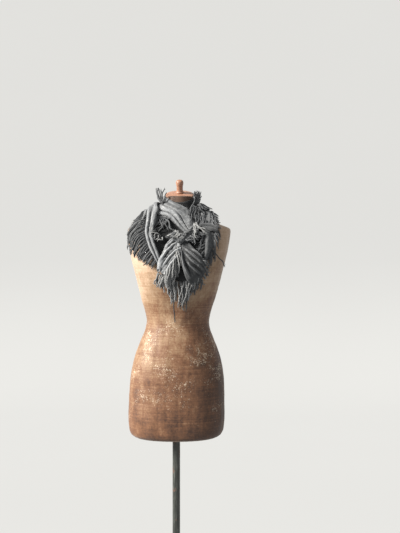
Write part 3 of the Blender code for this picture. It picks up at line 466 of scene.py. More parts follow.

# Each fringe's batches of strands. First what they spring from: a cloth's node and side, with the place
# across it and a rise in mm over its edge; the under layer with its lift; or nothing, with a path of their
# own. Then count, wildness, wave, how far over the path they lie, how pale they are, partly their own tone
# and partly painted light and shade (darker low, in hollows and on the shaded side, paler on top and in
# the light), and the rows
FRINGES = {
    "fringe_left": (
        (("outer_loop", "below"), (56, 0.5, 0.4, 0, 0.36), (
            (0.70, 30, 64, 14), (0.76, 66, 46, 8), (0.80, 70, 36, 7), (0.84, 66, 24, 6), (0.90, 52, 12, 4),
            (0.95, 38, 16, 4), (0.985, 22, 26, 4),
        )),
        (("outer_loop", "below", 0.42, 1.5), (50, 0.5, 0.4, 2.5, 0.66), (
            (0.70, 22, 70, 18), (0.73, 52, 66, 14), (0.76, 86, 48, 10), (0.80, 86, 40, 9),
            (0.84, 74, 30, 8), (0.88, 64, 16, 8), (0.92, 52, 12, 7), (0.96, 36, 22, 7), (0.985, 20, 26, 6),
        )),
    ),
    "fringe_right": (
        (("outer_loop", "below"), (36, 1.0, 0.8, 0, 0.5), (
            (0.05, 36, -54, 5), (0.10, 40, -54, 5), (0.16, 40, -56, 6), (0.24, 28, -56, 7),
            (0.31, 22, -44, 8),
        )),
        (("outer_loop", "below", 0.6, 0.5), (16, 0.8, 0.8, 1.5, 0.6), (
            (0.20, 36, -62, 8), (0.25, 38, -64, 9), (0.30, 36, -60, 9), (0.36, 32, -46, 9),
        )),
    ),
    "fringe_back": (
        (("yoke", 3.0), (92, 0.6, 0.6, 0, 0.9), (
            (96, 40, 4, 4), (118, 52, 4, 4), (145, 78, 4, 4), (180, 84, 0, 4), (230, 84, -4, 4),
            (264, 80, -8, 4),
        )),
        (("outer_loop", "below"), (84, 0.6, 0.6, 0, 0.9), (
            (0.34, 14, -30, 7), (0.40, 22, -10, 9), (0.51, 42, 0, 12), (0.61, 28, 8, 13),
            (0.68, 24, 24, 12),
        )),
    ),
    "fringe_point": (
        (("yoke", 2.6), (44, 1.0, 0.8, 0, 1.7), (
            (-24, 46, 50, 4), (-8, 72, 34, 4), (6, 98, 2, 4), (20, 78, -36, 4), (38, 44, -58, 4),
        )),
        (("yoke", 6.0), (28, 1.2, 0.9, 4.0, 2.6), (
            (-20, 50, 40, 9), (-8, 66, 26, 9), (4, 84, 4, 9), (16, 76, -22, 9), (30, 56, -44, 9),
        )),
        ((), (1, 0.2, 0.3, 0, 0.0), ((-8, 350, 5, 84, 0, 3), (-4, 350, 5, 84, 0, 3))),
    ),
    "fringe_left_tail": (
        (
            ("left_tail", "end"), (12, 1.2, 0.8, 0, 1.8),
            ((0.06, 44, 4, 15), (0.5, 46, 6, 13), (0.94, 42, 10, 13)),
        ),
    ),
    "fringe_left_tail_side": (
        (("left_tail", "above"), (20, 0.6, 0.6, 0, 1.4), (
            (0.44, 56, -68, 18), (0.7, 60, -60, 15), (0.96, 56, -48, 12),
        )),
        (("left_tail", "above", 0.45, 5.0), (9, 0.4, 0.5, 2.5, 2.2), (
            (0.22, 54, -66, 25), (0.45, 62, -66, 24), (0.7, 60, -62, 20), (0.9, 52, -56, 18),
        )),
    ),
    "fringe_right_tail": (
        (
            ("right_tail", "end"), (14, 1.2, 0.8, 0, 0.7),
            ((0.06, 40, -6, 10), (0.5, 44, -4, 10), (0.94, 40, 0, 10)),
        ),
    ),
    "fringe_right_tail_side": (
        (("right_tail", "above"), (13, 1.0, 0.8, 0, 0.8), (
            (0.64, 24, -50, 12), (0.8, 30, -50, 11), (0.96, 32, -46, 11),
        )),
    ),
    "fringe_cross": (
        (("cross_band", "below"), (14, 1.6, 1.4, 0, 0.8), (
            (0.2, 30, 24, 27.4), (0.55, 36, 22, 26.4), (0.9, 34, 18, 25.4),
        )),
        ((), (18, 1.6, 2.0, 0, 0.8), (
            (29, 134, 33, 20, 30, 31), (21, 146, 33, 22, 24, 31), (13, 160, 33, 22, 16, 31),
            (6, 172, 33, 22, 10, 31),
        )),
    ),
    "fringe_hollow_right": (
        (("outer_loop", "above"), (15, 1.8, 1.6, 0, 0.5), (
            (0.055, 30, 46, 10), (0.12, 34, 44, 10), (0.17, 30, 40, 10),
        )),
    ),
    "fringe_hollow_left": (
        (("collar_wrap", "below"), (20, 2.4, 2.2, 0, 0.5), (
            (0.52, 44, 6, 8), (0.60, 60, 0, 8), (0.67, 60, -16, 8), (0.73, 40, -40, 8),
        )),
        ((), (16, 2.6, 3.0, 0, 1.2), (
            (-52, 122, 11, 34, 12, 11), (-43, 140, 12, 36, 0, 12), (-35, 150, 12, 40, -10, 13),
            (-27, 158, 13, 34, -24, 16),
        )),
    ),
    "fringe_tuft_left": (
        ((), (8, 1.2, 1.2, 0, 0.7), (
            (-58, 28, 14.3, 50, -6, 28), (-70, 25, 14.3, 62, 10, 34), (-84, 24, 14.0, 50, 22, 38),
        )),
    ),
    "fringe_tuft_right": (
        ((), (16, 2.0, 2.0, 0, 0.7), (
            (84, 29, 5.1, 36, -16, 22), (68, 28, 5.1, 50, 0, 24), (52, 27, 5.1, 44, 18, 20),
        )),
    ),
    "fringe_shoulder": (
        ((), (24, 0.8, 0.8, 0, 0.4), (
            (36, 22, 19, 40, 34, 17), (48, 38, 20, 46, 36, 17), (60, 50, 20, 38, 30, 16),
            (74, 48, 20, 28, 20, 16),
        )),
        ((), (16, 0.8, 0.8, 0, 0.4), (
            (30, 52, 17, 34, 40, 15), (42, 72, 18, 38, 44, 16), (50, 92, 18, 36, 40, 16),
            (54, 116, 18, 30, 30, 15),
        )),
        ((), (20, 0.6, 0.7, 0, 0.35), (
            (58, 34, 19, 48, 12, 22), (78, 34, 20, 54, 0, 23), (98, 36, 18, 46, -8, 20),
        )),
    ),
    "fringe_middle": (
        ((), (4, 0.6, 0.9, 1.0, 4.0), (
            (31, 117, 38, 50, 4, 38), (34, 115, 40, 62, 0, 38), (37, 116, 38, 54, -6, 37),
        )),
        ((), (18, 2.2, 2.6, 0, 1.2), (
            (-24, 152, 20, 28, 30, 25), (-15, 134, 22, 32, 14, 27), (-3, 122, 23, 34, 4, 29),
            (9, 138, 25, 28, -10, 30),
        )),
        ((), (1, 0.2, 0.4, 0, 0.0), ((44, 229, 14, 136, 42, 9), (48, 229, 14, 136, 42, 9))),
    ),
}


def cloth_path(node):
    """The path that a cloth lies along."""
    return Path(CLOTH_COLUMNS, CLOTHS[node][1])


def fringe_line(table, part, angle, drop, lift, back=False):
    """A fringe's path: a line over the hang with the fringe's own columns, read at parts of its table."""
    own = [smooth(part, table[:, 0], table[:, k]) for k in (1, 2, 3)]
    line = np.stack([angle, drop, lift, *own], axis=-1)
    return Path(FREE_COLUMNS, line[::-1] if back else line)


def edge_path(rows, node, where, across=1.0, over=0.0, count=28):
    """A fringe's path along a cloth's side or end; ahead of it is off the cloth."""
    cloth = cloth_path(node)
    table = np.array(rows, float)
    part = np.linspace(table[0, 0], table[-1, 0], count)
    if where == "end":
        t, u = np.ones(count), 1 - 2 * part
    else:
        t, u = part, np.full(count, across if where == "below" else -across)
    angle, drop = cloth.place(t, u * cloth.width(t, u), np.zeros(count))
    lift = cloth.value("lift", t) + cloth.value("fold", t) * (CLOTHS[node][-1] + over)
    return fringe_line(table, part, np.degrees(angle), drop / MM, lift, where == "above")


def under_layer_path(rows, lift, count=40):
    """A fringe's path along the lower edge of the under layer, whose parts are angles in degrees."""
    table = np.array(rows, float)
    angle = np.linspace(table[0, 0], table[-1, 0], count)
    edge = np.array(YOKE_EDGE, float)
    drop = smooth((angle + 180) % 360 - 180, edge[:, 0], edge[:, 1])
    return fringe_line(table, angle, angle, drop, np.full(count, lift))


def fringe_path(start, rows):
    """The path that a batch of strands springs from."""
    if not start:
        return Path(FREE_COLUMNS, rows)
    return under_layer_path(rows, *start[1:]) if start[0] == "yoke" else edge_path(rows, *start)


def settled(seed, *shape):
    """Settled random numbers from 0 to 1."""
    return np.random.default_rng(seed).random(shape)


# A swell is the sum of this many waves, each as long as the usual one times a share between these two,
# and the sum is divided by this much to even it out
WAVES = 7
SHORTEST, LONGEST = 0.55, 1.45
EVENED = 3.2


def swell(x, y, wave, seed):
    """Smooth random waves over places in metres; a wave is its height and its usual lengths both ways."""
    height, size_x, size_y = wave
    total = 0.0
    for turn, phase, scale in settled(seed, WAVES, 3):
        size = SHORTEST + (LONGEST - SHORTEST) * scale
        way = math.cos(math.tau * turn) / (size_x * size), math.sin(math.tau * turn) / (size_y * size)
        total = total + np.sin(math.tau * (x * way[0] + y * way[1] + phase))
    return height * (total / EVENED)


def across_cloth(sections, t, v):
    """Place across and rise, in mm, of a folded cloth at parts t of its length and v of its own width."""
    parts = np.array([row[0] for row in sections], float)
    table = np.array([row[1] for row in sections], float)
    last = table.shape[1] - 1
    curves = np.array([[smooth(t, parts, table[:, k, i]) for i in (0, 1)] for k in range(last + 1)])
    k = np.clip(np.floor(v * last).astype(int), 0, last - 1)
    f = v * last - k
    here = np.arange(len(t))
    a, b, c, d = (curves[np.clip(k + n, 0, last), :, here].T for n in (-1, 0, 1, 2))
    return 0.5 * (2 * b + (c - a) * f + (2 * a - 5 * b + 4 * c - d) * f**2 + (3 * b - a - 3 * c + d) * f**3)


# A single fold fades over this part of its length at both ends, down to this share of its height
FOLD_FADE = 0.2
LEAST_FOLD = 0.25


def fold_lines(angle, drop, lines):
    """How far single folds raise a cloth, in metres, at places of the hang."""
    rise = np.zeros(np.shape(drop))
    for height, upper, lower, points in lines:
        spots = np.array(points, float)
        middle = np.radians(spots[:, 0].mean()), spots[:, 1].mean() * MM
        wide = float(girth(*middle))
        line = np.stack([(np.radians(spots[:, 0]) - middle[0]) * wide, spots[:, 1] * MM], axis=-1)
        x = ((angle - middle[0] + math.pi) % math.tau - math.pi) * wide
        near = np.full(np.shape(drop), np.inf)
        side, part = np.zeros((2, *np.shape(drop)))
        run = run_along(line)
        for k in range(len(line) - 1):
            dx, dy = line[k + 1] - line[k]
            px, py = x - line[k, 0], drop - line[k, 1]
            share = np.clip((px * dx + py * dy) / (dx * dx + dy * dy), 0, 1)
            away = np.hypot(px - share * dx, py - share * dy)
            closer = away < near
            near = np.where(closer, away, near)
            side = np.where(closer, dx * py - dy * px, side)
            part = np.where(closer, (run[k] + share * (run[k + 1] - run[k])) / run[-1], part)
        upward = 1 if line[-1, 0] > line[0, 0] else -1
        width = np.where(side * upward < 0, upper, lower) * MM
        fade = np.clip(np.minimum(part, 1 - part) / FOLD_FADE, LEAST_FOLD, 1)
        rise += height * MM * np.exp(-((near / width) ** 2)) * fade
    return rise


def ringed_tube(sides, steps, capped=True):
    """An upright tube of radius and height 1, with level rings of vertices in even steps."""
    bm = bmesh.new()
    bmesh.ops.create_cone(bm, cap_ends=capped, segments=sides, radius1=1, radius2=1, depth=1)
    upright = [e for e in bm.edges if abs(e.verts[0].co.z - e.verts[1].co.z) > 0.5]
    bmesh.ops.subdivide_edges(bm, edges=upright, cuts=steps - 1)
    return bm


def vertex_places(bm):
    """The places of a bmesh's vertices."""
    return np.array([v.co for v in bm.verts])


def move(verts, places):
    """Puts vertices at places."""
    for vert, place in zip(verts, places):
        vert.co = place


def face_order(face, count):
    """A number that puts the faces of a mesh with this many vertices in order of their lowest three."""
    low = sorted(vert.index for vert in face.verts)
    return (low[0] * count + low[1]) * count + low[2]


def thick_sheet(along, across, closed):
    """A closed thin body of quads, and each vertex's step along, step across and side (0 or 1)."""
    if closed:
        bm = ringed_tube(along, across, capped=False)
    else:
        bm = bmesh.new()
        bmesh.ops.create_grid(bm, x_segments=along, y_segments=across, size=1)
    made = bmesh.ops.extrude_face_region(bm, geom=bm.faces[:])
    bm.verts.index_update()
    # The operator adds the rim's faces in an order that changes from run to run
    bm.faces.sort(key=partial(face_order, count=len(bm.verts)))
    outer = {v.index for v in made["geom"] if isinstance(v, bmesh.types.BMVert)}
    side = np.array([v.index in outer for v in bm.verts], int)
    spot = vertex_places(bm)
    if closed:
        i = np.round(np.arctan2(spot[:, 0], -spot[:, 1]) / math.tau * along).astype(int) % along
        j = np.round((0.5 - spot[:, 2]) * across).astype(int)
    else:
        i, j = (np.round((spot[:, k] + 1) / 2 * steps).astype(int) for k, steps in enumerate((along, across)))
    return bm, i, j, side


# How thick a cloth is at its edges, as a share of the rest
EDGE_SHARE = 0.35
TINY = 1e-12


def shell(middle, shade, thick, closed=False):
    """A cloth of even thickness round its middle surface, a grid of points; also UV, painted shade and girth.
    """
    along = len(middle) - (0 if closed else 1)
    across = middle.shape[1] - 1
    bm, i, j, side = thick_sheet(along, across, closed)
    half = np.full(middle.shape[:2], thick / 2)
    half[:, (0, -1)] *= EDGE_SHARE
    if closed:
        run = np.roll(middle, -1, axis=0) - np.roll(middle, 1, axis=0)
    else:
        run = np.gradient(middle, axis=0)
        half[(0, -1), :] *= EDGE_SHARE
    out = np.cross(np.gradient(middle, axis=1), run)
    out /= np.linalg.norm(out, axis=-1, keepdims=True) + TINY
    move(bm.verts, middle[i, j] + out[i, j] * (half[i, j] * (2 * side - 1))[:, None])
    width = run_along(middle, axis=1)
    length = run_along(middle[:, across // 2])
    return bm, np.stack([length[i], width[i, j]], axis=-1), shade[i, j], length[-1] * len(middle) / along


def finished(name, bm, made, node):
    """Turns a bmesh into a smooth piece that rides on the part and stands for a CAD node."""
    bmesh.ops.recalc_face_normals(bm, faces=bm.faces[:])
    if bm.calc_volume(signed=True) < 0:
        bmesh.ops.reverse_faces(bm, faces=bm.faces[:])
    mesh = bpy.data.meshes.new(name)
    bm.to_mesh(mesh)
    bm.free()
    mesh.shade_smooth()
    mesh.materials.append(made)
    piece = bpy.data.objects.new(name, mesh)
    bpy.context.scene.collection.objects.link(piece)
    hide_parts(node)
    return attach(piece, "root")


def lay_wool(piece, places, tone_and_shade, around=None):
    """Gives a piece its UV places, which go on past the seam of a round one, and its tone and painted shade.

    This is how light each vertex is painted, 0 to 1: a strand's own yarn with painted shade on lower strands
    and shaded batches, or a cloth's painted highlight on its folds and painted shade in its grooves.
    """
    mesh = piece.data
    corner = np.zeros(len(mesh.loops), np.int32)
    mesh.loops.foreach_get("vertex_index", corner)
    uv = places[corner].copy()
    if around is not None:
        size = np.zeros(len(mesh.polygons), np.int32)
        mesh.polygons.foreach_get("loop_total", size)
        face = np.repeat(np.arange(len(size)), size)
        highest = np.full(len(size), -np.inf)
        np.maximum.at(highest, face, uv[:, 0])
        around = around[corner] if np.ndim(around) else np.full(len(corner), around)
        uv[:, 0] += np.where(highest[face] - uv[:, 0] > around / 2, around, 0)
    mesh.uv_layers.new(name="cloth").data.foreach_set("uv", uv.astype(np.float32).ravel())
    mesh.attributes.new("tone_and_shade", "FLOAT", "POINT").data.foreach_set("value", tone_and_shade.astype(np.float32))


# Painted shade on folds follows their height over what lies round it, dark in grooves and pale on ridges:
# the painted shade of level cloth, the height that takes it from 0 to 1, and how far round it is read, along
# the cloth in metres and across it as a part
LEVEL_SHADE = 0.42
CREASE = 4.6 * MM
READ_ALONG = 8 * MM
READ_ACROSS = 1 / 11


def crease(lift, reach_along, reach_across, sharp):
    """How far each place of a grid of lifts stands over its surroundings, 0 in a groove to 1 on a ridge."""
    soft = lift
    for axis, reach in enumerate((reach_along, reach_across)):
        pad = [(reach, reach) if k == axis else (0, 0) for k in (0, 1)]
        run = np.cumsum(np.pad(soft, pad, mode="edge"), axis=axis)
        size = soft.shape[axis]
        soft = np.take(run, range(2 * reach, 2 * reach + size), axis) - np.take(run, range(size), axis)
        soft = soft / (2 * reach)
    return np.clip(LEVEL_SHADE + sharp * (lift - soft) / CREASE, 0, 1)


def pairs(first, second):
    """Every pair of places on two scales, as two flat arrays."""
    return (grid.ravel() for grid in np.meshgrid(first, second, indexing="ij"))


# Waves in the cloth: their height, a share or metres, and their usual lengths along and across in metres
WANDER = (0.07, 0.11, 0.2)
NARROWING = (0.05, 0.05, 1)
FOLD_SWELL = (0.16, 0.09, 0.05)
RIPPLES = ((0.45 * MM, 0.06, 0.009), (0.3 * MM, 0.018, 0.012))
YOKE_SWELLS = ((0.5 * MM, 0.05, 0.09), (0.5 * MM, 0.03, 0.07))
FORM_DENTS = ((0.9 * MM, 0.10, 0.16), (0.35 * MM, 0.035, 0.03))

# Half a cloth's usual width, and half the under layer's reach, over which those waves are laid
HALF_WIDTH = 0.03
YOKE_REACH = 0.12
FLARE_FROM = 0.7


def strip_middle(path, sections, lines, steps, seed, flare, pale, sharp):
    """The middle surface of a folded length of cloth laid over the hang along a path, and its painted shade.
    """
    along, across = steps
    t, v = pairs(np.linspace(0, 1, along + 1), np.linspace(0, 1, across + 1))
    place, rise = across_cloth(sections, t, v)
    x, y = t * path.length, place * HALF_WIDTH
    place = place + swell(x, y, WANDER, seed) * np.clip(1 - place**2, 0, 1)
    width = path.width(t, place) * (1 + swell(x, 0 * y, NARROWING, seed + 1))
    strength = path.value("fold", t) * (1 + swell(x, y, FOLD_SWELL, seed + 2))
    splay = np.clip((t - FLARE_FROM) / (1 - FLARE_FROM), 0, 1)
    angle, drop = path.place(t, place * width, -flare * rise * MM * splay)
    lift = path.value("lift", t) * MM + strength * rise * MM + fold_lines(angle, drop, lines)
    for k, wave in enumerate(RIPPLES, 3):
        lift = lift + swell(x, place * width, wave, seed + k)
    size = along + 1, across + 1
    reach = round(READ_ALONG / path.length * along), int(READ_ACROSS * across)
    # Painted shade: grooves dark and ridges pale, and the whole cloth scaled end to end by its painted light
    tone_and_shade = crease(lift.reshape(size), *reach, sharp) * np.linspace(*pale, along + 1)[:, None]
    return on_hang(angle, drop, lift).reshape(*size, 3), tone_and_shade


# The front part of the under layer that other cloths cover, painted dark as in their shadow, and the angle
# over which that part ends
COVERED = math.radians(64)
COVER_ENDS = math.radians(14)

# The lift at which the under layer's painted shade starts, the rise that brings it to 1, its most and its
# least lift
SHADE_FROM, SHADE_RISE, SHADE_MOST = 2.2 * MM, 5 * MM, 0.7
LEAST_LIFT = 1.2 * MM


def yoke_middle(around, across):
    """The middle surface of the under layer, from the neck's rim to its pointed edge, and its painted shade.
    """
    angle, u = pairs(np.arange(around) / around * math.tau, np.linspace(0, 1, across + 1))
    angle = (angle + math.pi) % math.tau - math.pi
    table = np.array(YOKE_EDGE, float)
    low, high = (smooth(np.degrees(angle), table[:, 0], table[:, k]) * MM for k in (1, 2))
    drop = high + u * (low - high)
    wave = (1 - np.cos(YOKE_PLEATS * angle + 1.2 * np.sin(2 * angle))) / 2
    lift = YOKE_LIFT + u * (0.3 + 0.7 * u) * wave * YOKE_PLEAT_RISE
    for seed, side, dent in zip((61, 62), (np.cos(angle), np.sin(angle)), YOKE_SWELLS):
        lift = lift + u * swell(side * YOKE_REACH, drop, dent, seed)
    # Painted shadow: in front, where it lies under the other cloths, it is painted dark; elsewhere its pleats
    # are painted darker low and paler high
    shadow_front = np.clip((COVERED - np.abs(angle)) / COVER_ENDS, 0, 1)
    shade = np.clip((lift - SHADE_FROM) / SHADE_RISE, 0, SHADE_MOST) * (1 - shadow_front)
    size = around, across + 1
    return on_hang(angle, drop, np.maximum(lift, LEAST_LIFT)).reshape(*size, 3), shade.reshape(size)


# A strand's tube and that of a loose yarn end at its tip: sides and steps
STRAND_SIDES, STRAND_STEPS = 7, 26
WISP_SIDES, WISP_STEPS = 4, 7
WISPS = 3
WISP_RADIUS = 0.6 * MM
WISP_START = 0.80
TWIST = 11 * MM
LOBE = 0.2


def add_tubes(bm, centre, out, radius, sides, steps, turns):
    """Adds twisted tubes round rows of centre points; gives their UV, distance round and row numbers."""
    unit = ringed_tube(sides, steps)
    spot = vertex_places(unit)
    i = np.round(np.arctan2(spot[:, 1], spot[:, 0]) / math.tau * sides) % sides
    j = np.round((spot[:, 2] + 0.5) * steps).astype(int)
    pattern = bpy.data.meshes.new("strand_pattern")
    unit.to_mesh(pattern)
    unit.free()
    first = len(bm.verts)
    for _ in centre:
        bm.from_mesh(pattern)
    bpy.data.meshes.remove(pattern)
    ahead = np.gradient(centre, axis=1)
    ahead /= np.linalg.norm(ahead, axis=-1, keepdims=True)
    beside = np.cross(ahead, out)
    beside /= np.linalg.norm(beside, axis=-1, keepdims=True)
    up = np.cross(beside, ahead)
    run = run_along(centre, axis=1)
    bearing = (i / sides * math.tau)[None, :]
    lobes = 1 + LOBE * np.cos(2 * (bearing - turns * math.tau * run[:, j]))
    size = (radius[:, j] * lobes)[..., None]
    rim = np.cos(bearing)[..., None] * beside[:, j] + np.sin(bearing)[..., None] * up[:, j]
    bm.verts.ensure_lookup_table()
    move(bm.verts[first:], (centre[:, j] + size * rim).reshape(-1, 3))
    wide = math.tau * radius.max(axis=1)
    uv = np.stack([(i / sides)[None, :] * wide[:, None], run[:, j]], axis=-1).reshape(-1, 2)
    rows = np.repeat(np.arange(len(centre)), len(spot))
    return uv, wide[rows], rows


# How far a strand starts within its cloth
ROOT = 2.5 * MM

# How far strands stray: in place by this share of their spacing, in length between these shares of their
# own, in heading and in bend by degrees, and to and fro by degrees
STRAY = 0.7
SHORT, LONG = 0.80, 1.20
HEADING_STRAY, BEND_STRAY, SWAY = 22, 60, 16

# One strand in ten is longer than its neighbours by this much
LONGER_SHARE, LONGER = 0.9, 1.15

# Every other strand lies this much higher, in mm, than the two beside it, and by this much at random
ROW_RISE, LEVEL_STRAY = 3.6, 1.6


def tassel_lines(path, count, wild, wave, over, pale, seed):
    """Centre points, outward directions, starts of the loose ends, thickness and tone with painted shade of a
    row of strands.
    """
    luck = settled(100 + seed, count, 13)
    t = (np.arange(count) + 0.5 + STRAY * (luck[:, 0] - 0.5)) / count
    s = np.linspace(0, 1, STRAND_STEPS + 1)[None, :]
    long = path.value("long", t) * MM * (SHORT + (LONG - SHORT) * luck[:, 1])
    long = (long * np.where(luck[:, 8] > LONGER_SHARE, LONGER, 1.0))[:, None]
    # Each turns its own way, bends as it hangs and waves
    turn = np.radians(path.value("heading", t) + HEADING_STRAY * wild * (luck[:, 2] - 0.5))[:, None]
    turn = turn + np.radians(BEND_STRAY * wild * (luck[:, 3:4] - 0.5)) * (s - 0.3)
    sway = np.sin(math.tau * (s * (0.8 + 1.4 * luck[:, 4:5]) + luck[:, 5:6]))
    turn = turn + np.radians(SWAY) * wave * sway
    ahead = np.cumsum(np.cos(turn) * long / STRAND_STEPS, axis=1) - ROOT
    beside = np.cumsum(np.sin(turn) * long / STRAND_STEPS, axis=1)
    row = (np.arange(count) % 2)[:, None]
    level = path.value("lift", t)[:, None] * (1 - s) + path.value("tip_lift", t)[:, None] * s
    level = level + (over + ROW_RISE * row + LEVEL_STRAY * (luck[:, 6:7] - 0.5)) * np.minimum(1, 4 * s)
    level = level + (0.4 + 2.4 * wild * luck[:, 7:8]) * np.sin(math.pi * s)
    level = level + 0.7 * wave * np.sin(math.tau * (s * (1.2 + luck[:, 9:10]) + luck[:, 10:11])) * s
    angle, drop = path.place(np.broadcast_to(t[:, None], ahead.shape), ahead, beside)
    # Painted shade: the lower row is painted darker than the row lying over it, and each batch is scaled by
    # its painted light; the random part is each yarn's own tone
    tone_and_shade = np.minimum(1, pale * (0.12 + 0.36 * row[:, 0] + 0.52 * luck[:, 12] ** 1.4))
    start = t, ahead, beside, turn, level, long
    return on_hang(angle, drop, level * MM), outward(angle, drop), start, 0.84 + 0.32 * luck[:, 11:12], tone_and_shade


def loose_ends(path, start, count, seed):
    """Centre points and outward directions of the fine yarn ends near the strands' tips."""
    t, ahead, beside, turn, level, long = start
    at = slice(int(WISP_START * STRAND_STEPS), int(WISP_START * STRAND_STEPS) + 1)
    luck = settled(seed, count, 4)
    w = np.linspace(0, 1, WISP_STEPS + 1)[None, :]
    reach = (6 + 11 * luck[:, 0:1]) * MM * (0.5 + 0.5 * long / 0.06)
    spread = turn[:, at] + np.radians(60) * (luck[:, 1:2] - 0.5) * (0.4 + w)
    spread = spread + 0.5 * np.sin(math.tau * (w + luck[:, 2:3]))
    go = np.cumsum(np.cos(spread), axis=1) * reach / WISP_STEPS + ahead[:, at]
    side = np.cumsum(np.sin(spread), axis=1) * reach / WISP_STEPS + beside[:, at]
    angle, drop = path.place(np.broadcast_to(t[:, None], go.shape), go, side)
    high = level[:, at] + 2.2 * (luck[:, 3:4] - 0.4) * w
    return on_hang(angle, drop, high * MM), outward(angle, drop)


def tassels(batches, seed, thick):
    """Twisted strands with loose yarn ends, in rows; gives the bmesh, UV, tone with painted shade and
    distance round.
    """
    bm = bmesh.new()
    parts = []
    s, w = (np.linspace(0, 1, steps + 1)[None, :] for steps in (STRAND_STEPS, WISP_STEPS))
    taper = np.minimum(1, 0.6 + 5 * s) * (1 - 0.42 * np.clip((s - 0.6) / 0.4, 0, 1) ** 1.5)
    taper = taper * (1 - 0.5 * np.clip((s - 0.94) / 0.06, 0, 1))
    for k, (origin, (count, *manner), rows) in enumerate(batches):
        path = fringe_path(origin, rows)
        centre, out, start, stout, tone_and_shade = tassel_lines(path, count, *manner, 40 * seed + k)
        tubes = [(centre, out, thick / 2 * stout * taper, STRAND_SIDES, STRAND_STEPS, 1 / TWIST)]
        fine = WISP_RADIUS * (1.15 - w) * np.ones((count, 1))
        for end in range(WISPS):
            ends = loose_ends(path, start, count, 9000 + 400 * seed + 10 * k + end)
            tubes.append((*ends, fine, WISP_SIDES, WISP_STEPS, 0.0))
        for tube in tubes:
            uv, around, strand = add_tubes(bm, *tube)
            parts.append((uv, tone_and_shade[strand], around))
    return bm, *(np.concatenate(part) for part in zip(*parts))


# Heights over the hem of the form's rings: close together round the hem's edge and under the shoulders
HEM_RINGS = (0, 0.0012, 0.0028, 0.005, 0.009, 0.014, 0.021)
SHOULDER_RINGS = (0.740, 0.744, 0.747, 0.750, 0.754, 0.759, 0.765)
NECK_RINGS = 24
BODY_RANGE, NECK_RANGE = (0.030, 0.736), (0.771, NECK_TOP)

# The dents fade out over this much height at the hem and at the neck's top
FADE_AT_HEM, FADE_AT_NECK = 0.03, 0.1


def form_shell(sides, rings):
    """The form: a closed body through its sections, a slanting neck, a lipped foot and the pole's hole."""
    body, neck = np.linspace(*BODY_RANGE, rings), np.linspace(*NECK_RANGE, NECK_RINGS)
    heights = np.concatenate([HEM_RINGS, body, SHOULDER_RINGS, neck])
    last = len(heights) - 1
    bm = ringed_tube(sides, last)
    spot = vertex_places(bm)
    ring = np.round((spot[:, 2] + 0.5) * last).astype(int)
    angle = np.arctan2(spot[:, 0], -spot[:, 1])
    height = heights[ring]
    radius = form_radius(angle, height)
    x, back = radius * np.sin(angle), np.cos(angle)
    dents = zip((31, 32), (x + 0.35 * back, x - 0.2 * back), FORM_DENTS)
    dent = sum(swell(place, height, wave, seed) for seed, place, wave in dents)
    ends = np.minimum(height / FADE_AT_HEM, (NECK_TOP - height) / FADE_AT_NECK)
    radius = radius + dent * np.clip(ends, 0, 1)
    height = height - np.where(ring == last, math.tan(NECK_TILT) * radius * np.cos(angle), 0)
    move(bm.verts, form_point(angle, radius, height))
    floor = min((f for f in bm.faces if len(f.verts) == sides), key=lambda f: f.calc_center_median().z)
    for share, hole, level in FORM_UNDERSIDE:
        floor = bmesh.ops.extrude_discrete_faces(bm, faces=[floor])["faces"][0]
        for vert in floor.verts:
            angle = math.atan2(vert.co.x, -vert.co.y)
            radius = share * float(form_radius(np.array(angle), np.array(0.0))) + hole
            vert.co = Vector(form_point(angle, radius, level))
            vert.co.x -= LEAN * level
    return bm


def turned(profile, sides, fine, centre=(0, 0, 0), tilt=0.0):
    """A closed turned body from (radius, height) steps, smoothed between them, tilted on its centre."""
    table = np.array(profile, float)
    run = run_along(table)
    at = np.unique(np.concatenate([run, np.linspace(0, run[-1], fine)]))
    line = np.stack([smooth(at, run, table[:, k]) for k in (0, 1)], axis=-1)
    bm = ringed_tube(sides, len(line) - 1)
    place = Matrix.Translation(Vector(centre)) @ Matrix.Rotation(tilt, 4, "X")
    for vert in bm.verts:
        radius, height = line[round((vert.co.z + 0.5) * (len(line) - 1))]
        vert.co = place @ Vector((vert.co.x * radius, vert.co.y * radius, height))
    return bm


def linear(code):
    """A colour's linear values from its sRGB hex code."""
    parts = [int(code[k : k + 2], 16) / 255 for k in (1, 3, 5)]
    return tuple(p / 12.92 if p <= 0.04045 else ((p + 0.055) / 1.055) ** 2.4 for p in parts)


def fit(*sizes):
    """A pattern's scale, or its scales by axis, from the size in millimetres of what it draws."""
    scales = tuple(1 / (size * MM) for size in sizes)
    return scales if len(scales) > 1 else scales[0]


def feed(node, *values, **named):
    """Gives inputs values or what feeds them: in order those in use, or by name with _ for a space."""
    inputs = [*zip([socket for socket in node.inputs if socket.enabled], values)]
    inputs += [(node.inputs[name.replace("_", " ")], value) for name, value in named.items()]
    for socket, value in inputs:
        if isinstance(value, bpy.types.Node):
            value = next(output for output in value.outputs if output.enabled)
        if isinstance(value, bpy.types.NodeSocket):
            node.id_data.links.new(value, socket)
        else:
            socket.default_value = (*value, 1) if socket.type == "RGBA" else value


def add_node(tree, kind, *values, stops=(), **named):
    """Adds a node: names in small letters are settings, the rest its inputs, and stops are a ramp's."""
    node = tree.nodes.new("ShaderNode" + kind)
    for name in [key for key in named if key.islower()]:
        setattr(node, name, named.pop(name))
    feed(node, *values, **named)
    for k, (place, colour) in enumerate(stops):
        elements = node.color_ramp.elements
        stop = elements[k] if k < len(elements) else elements.new(place)
        stop.position = place
        stop.color = (colour, colour, colour, 1) if isinstance(colour, float) else (*colour, 1)
    return node


def blank(name):
    """A new material, with the function that adds nodes to it and its Principled shader."""
    made = bpy.data.materials.new(name)
    made.use_nodes = True
    return made, partial(add_node, made.node_tree), made.node_tree.nodes["Principled BSDF"]


# A wave texture's bands lie this far apart, in metres, at a scale of 1
WAVE = 0.314

# In the materials, a noise's values are in order its vector, scale, detail and roughness


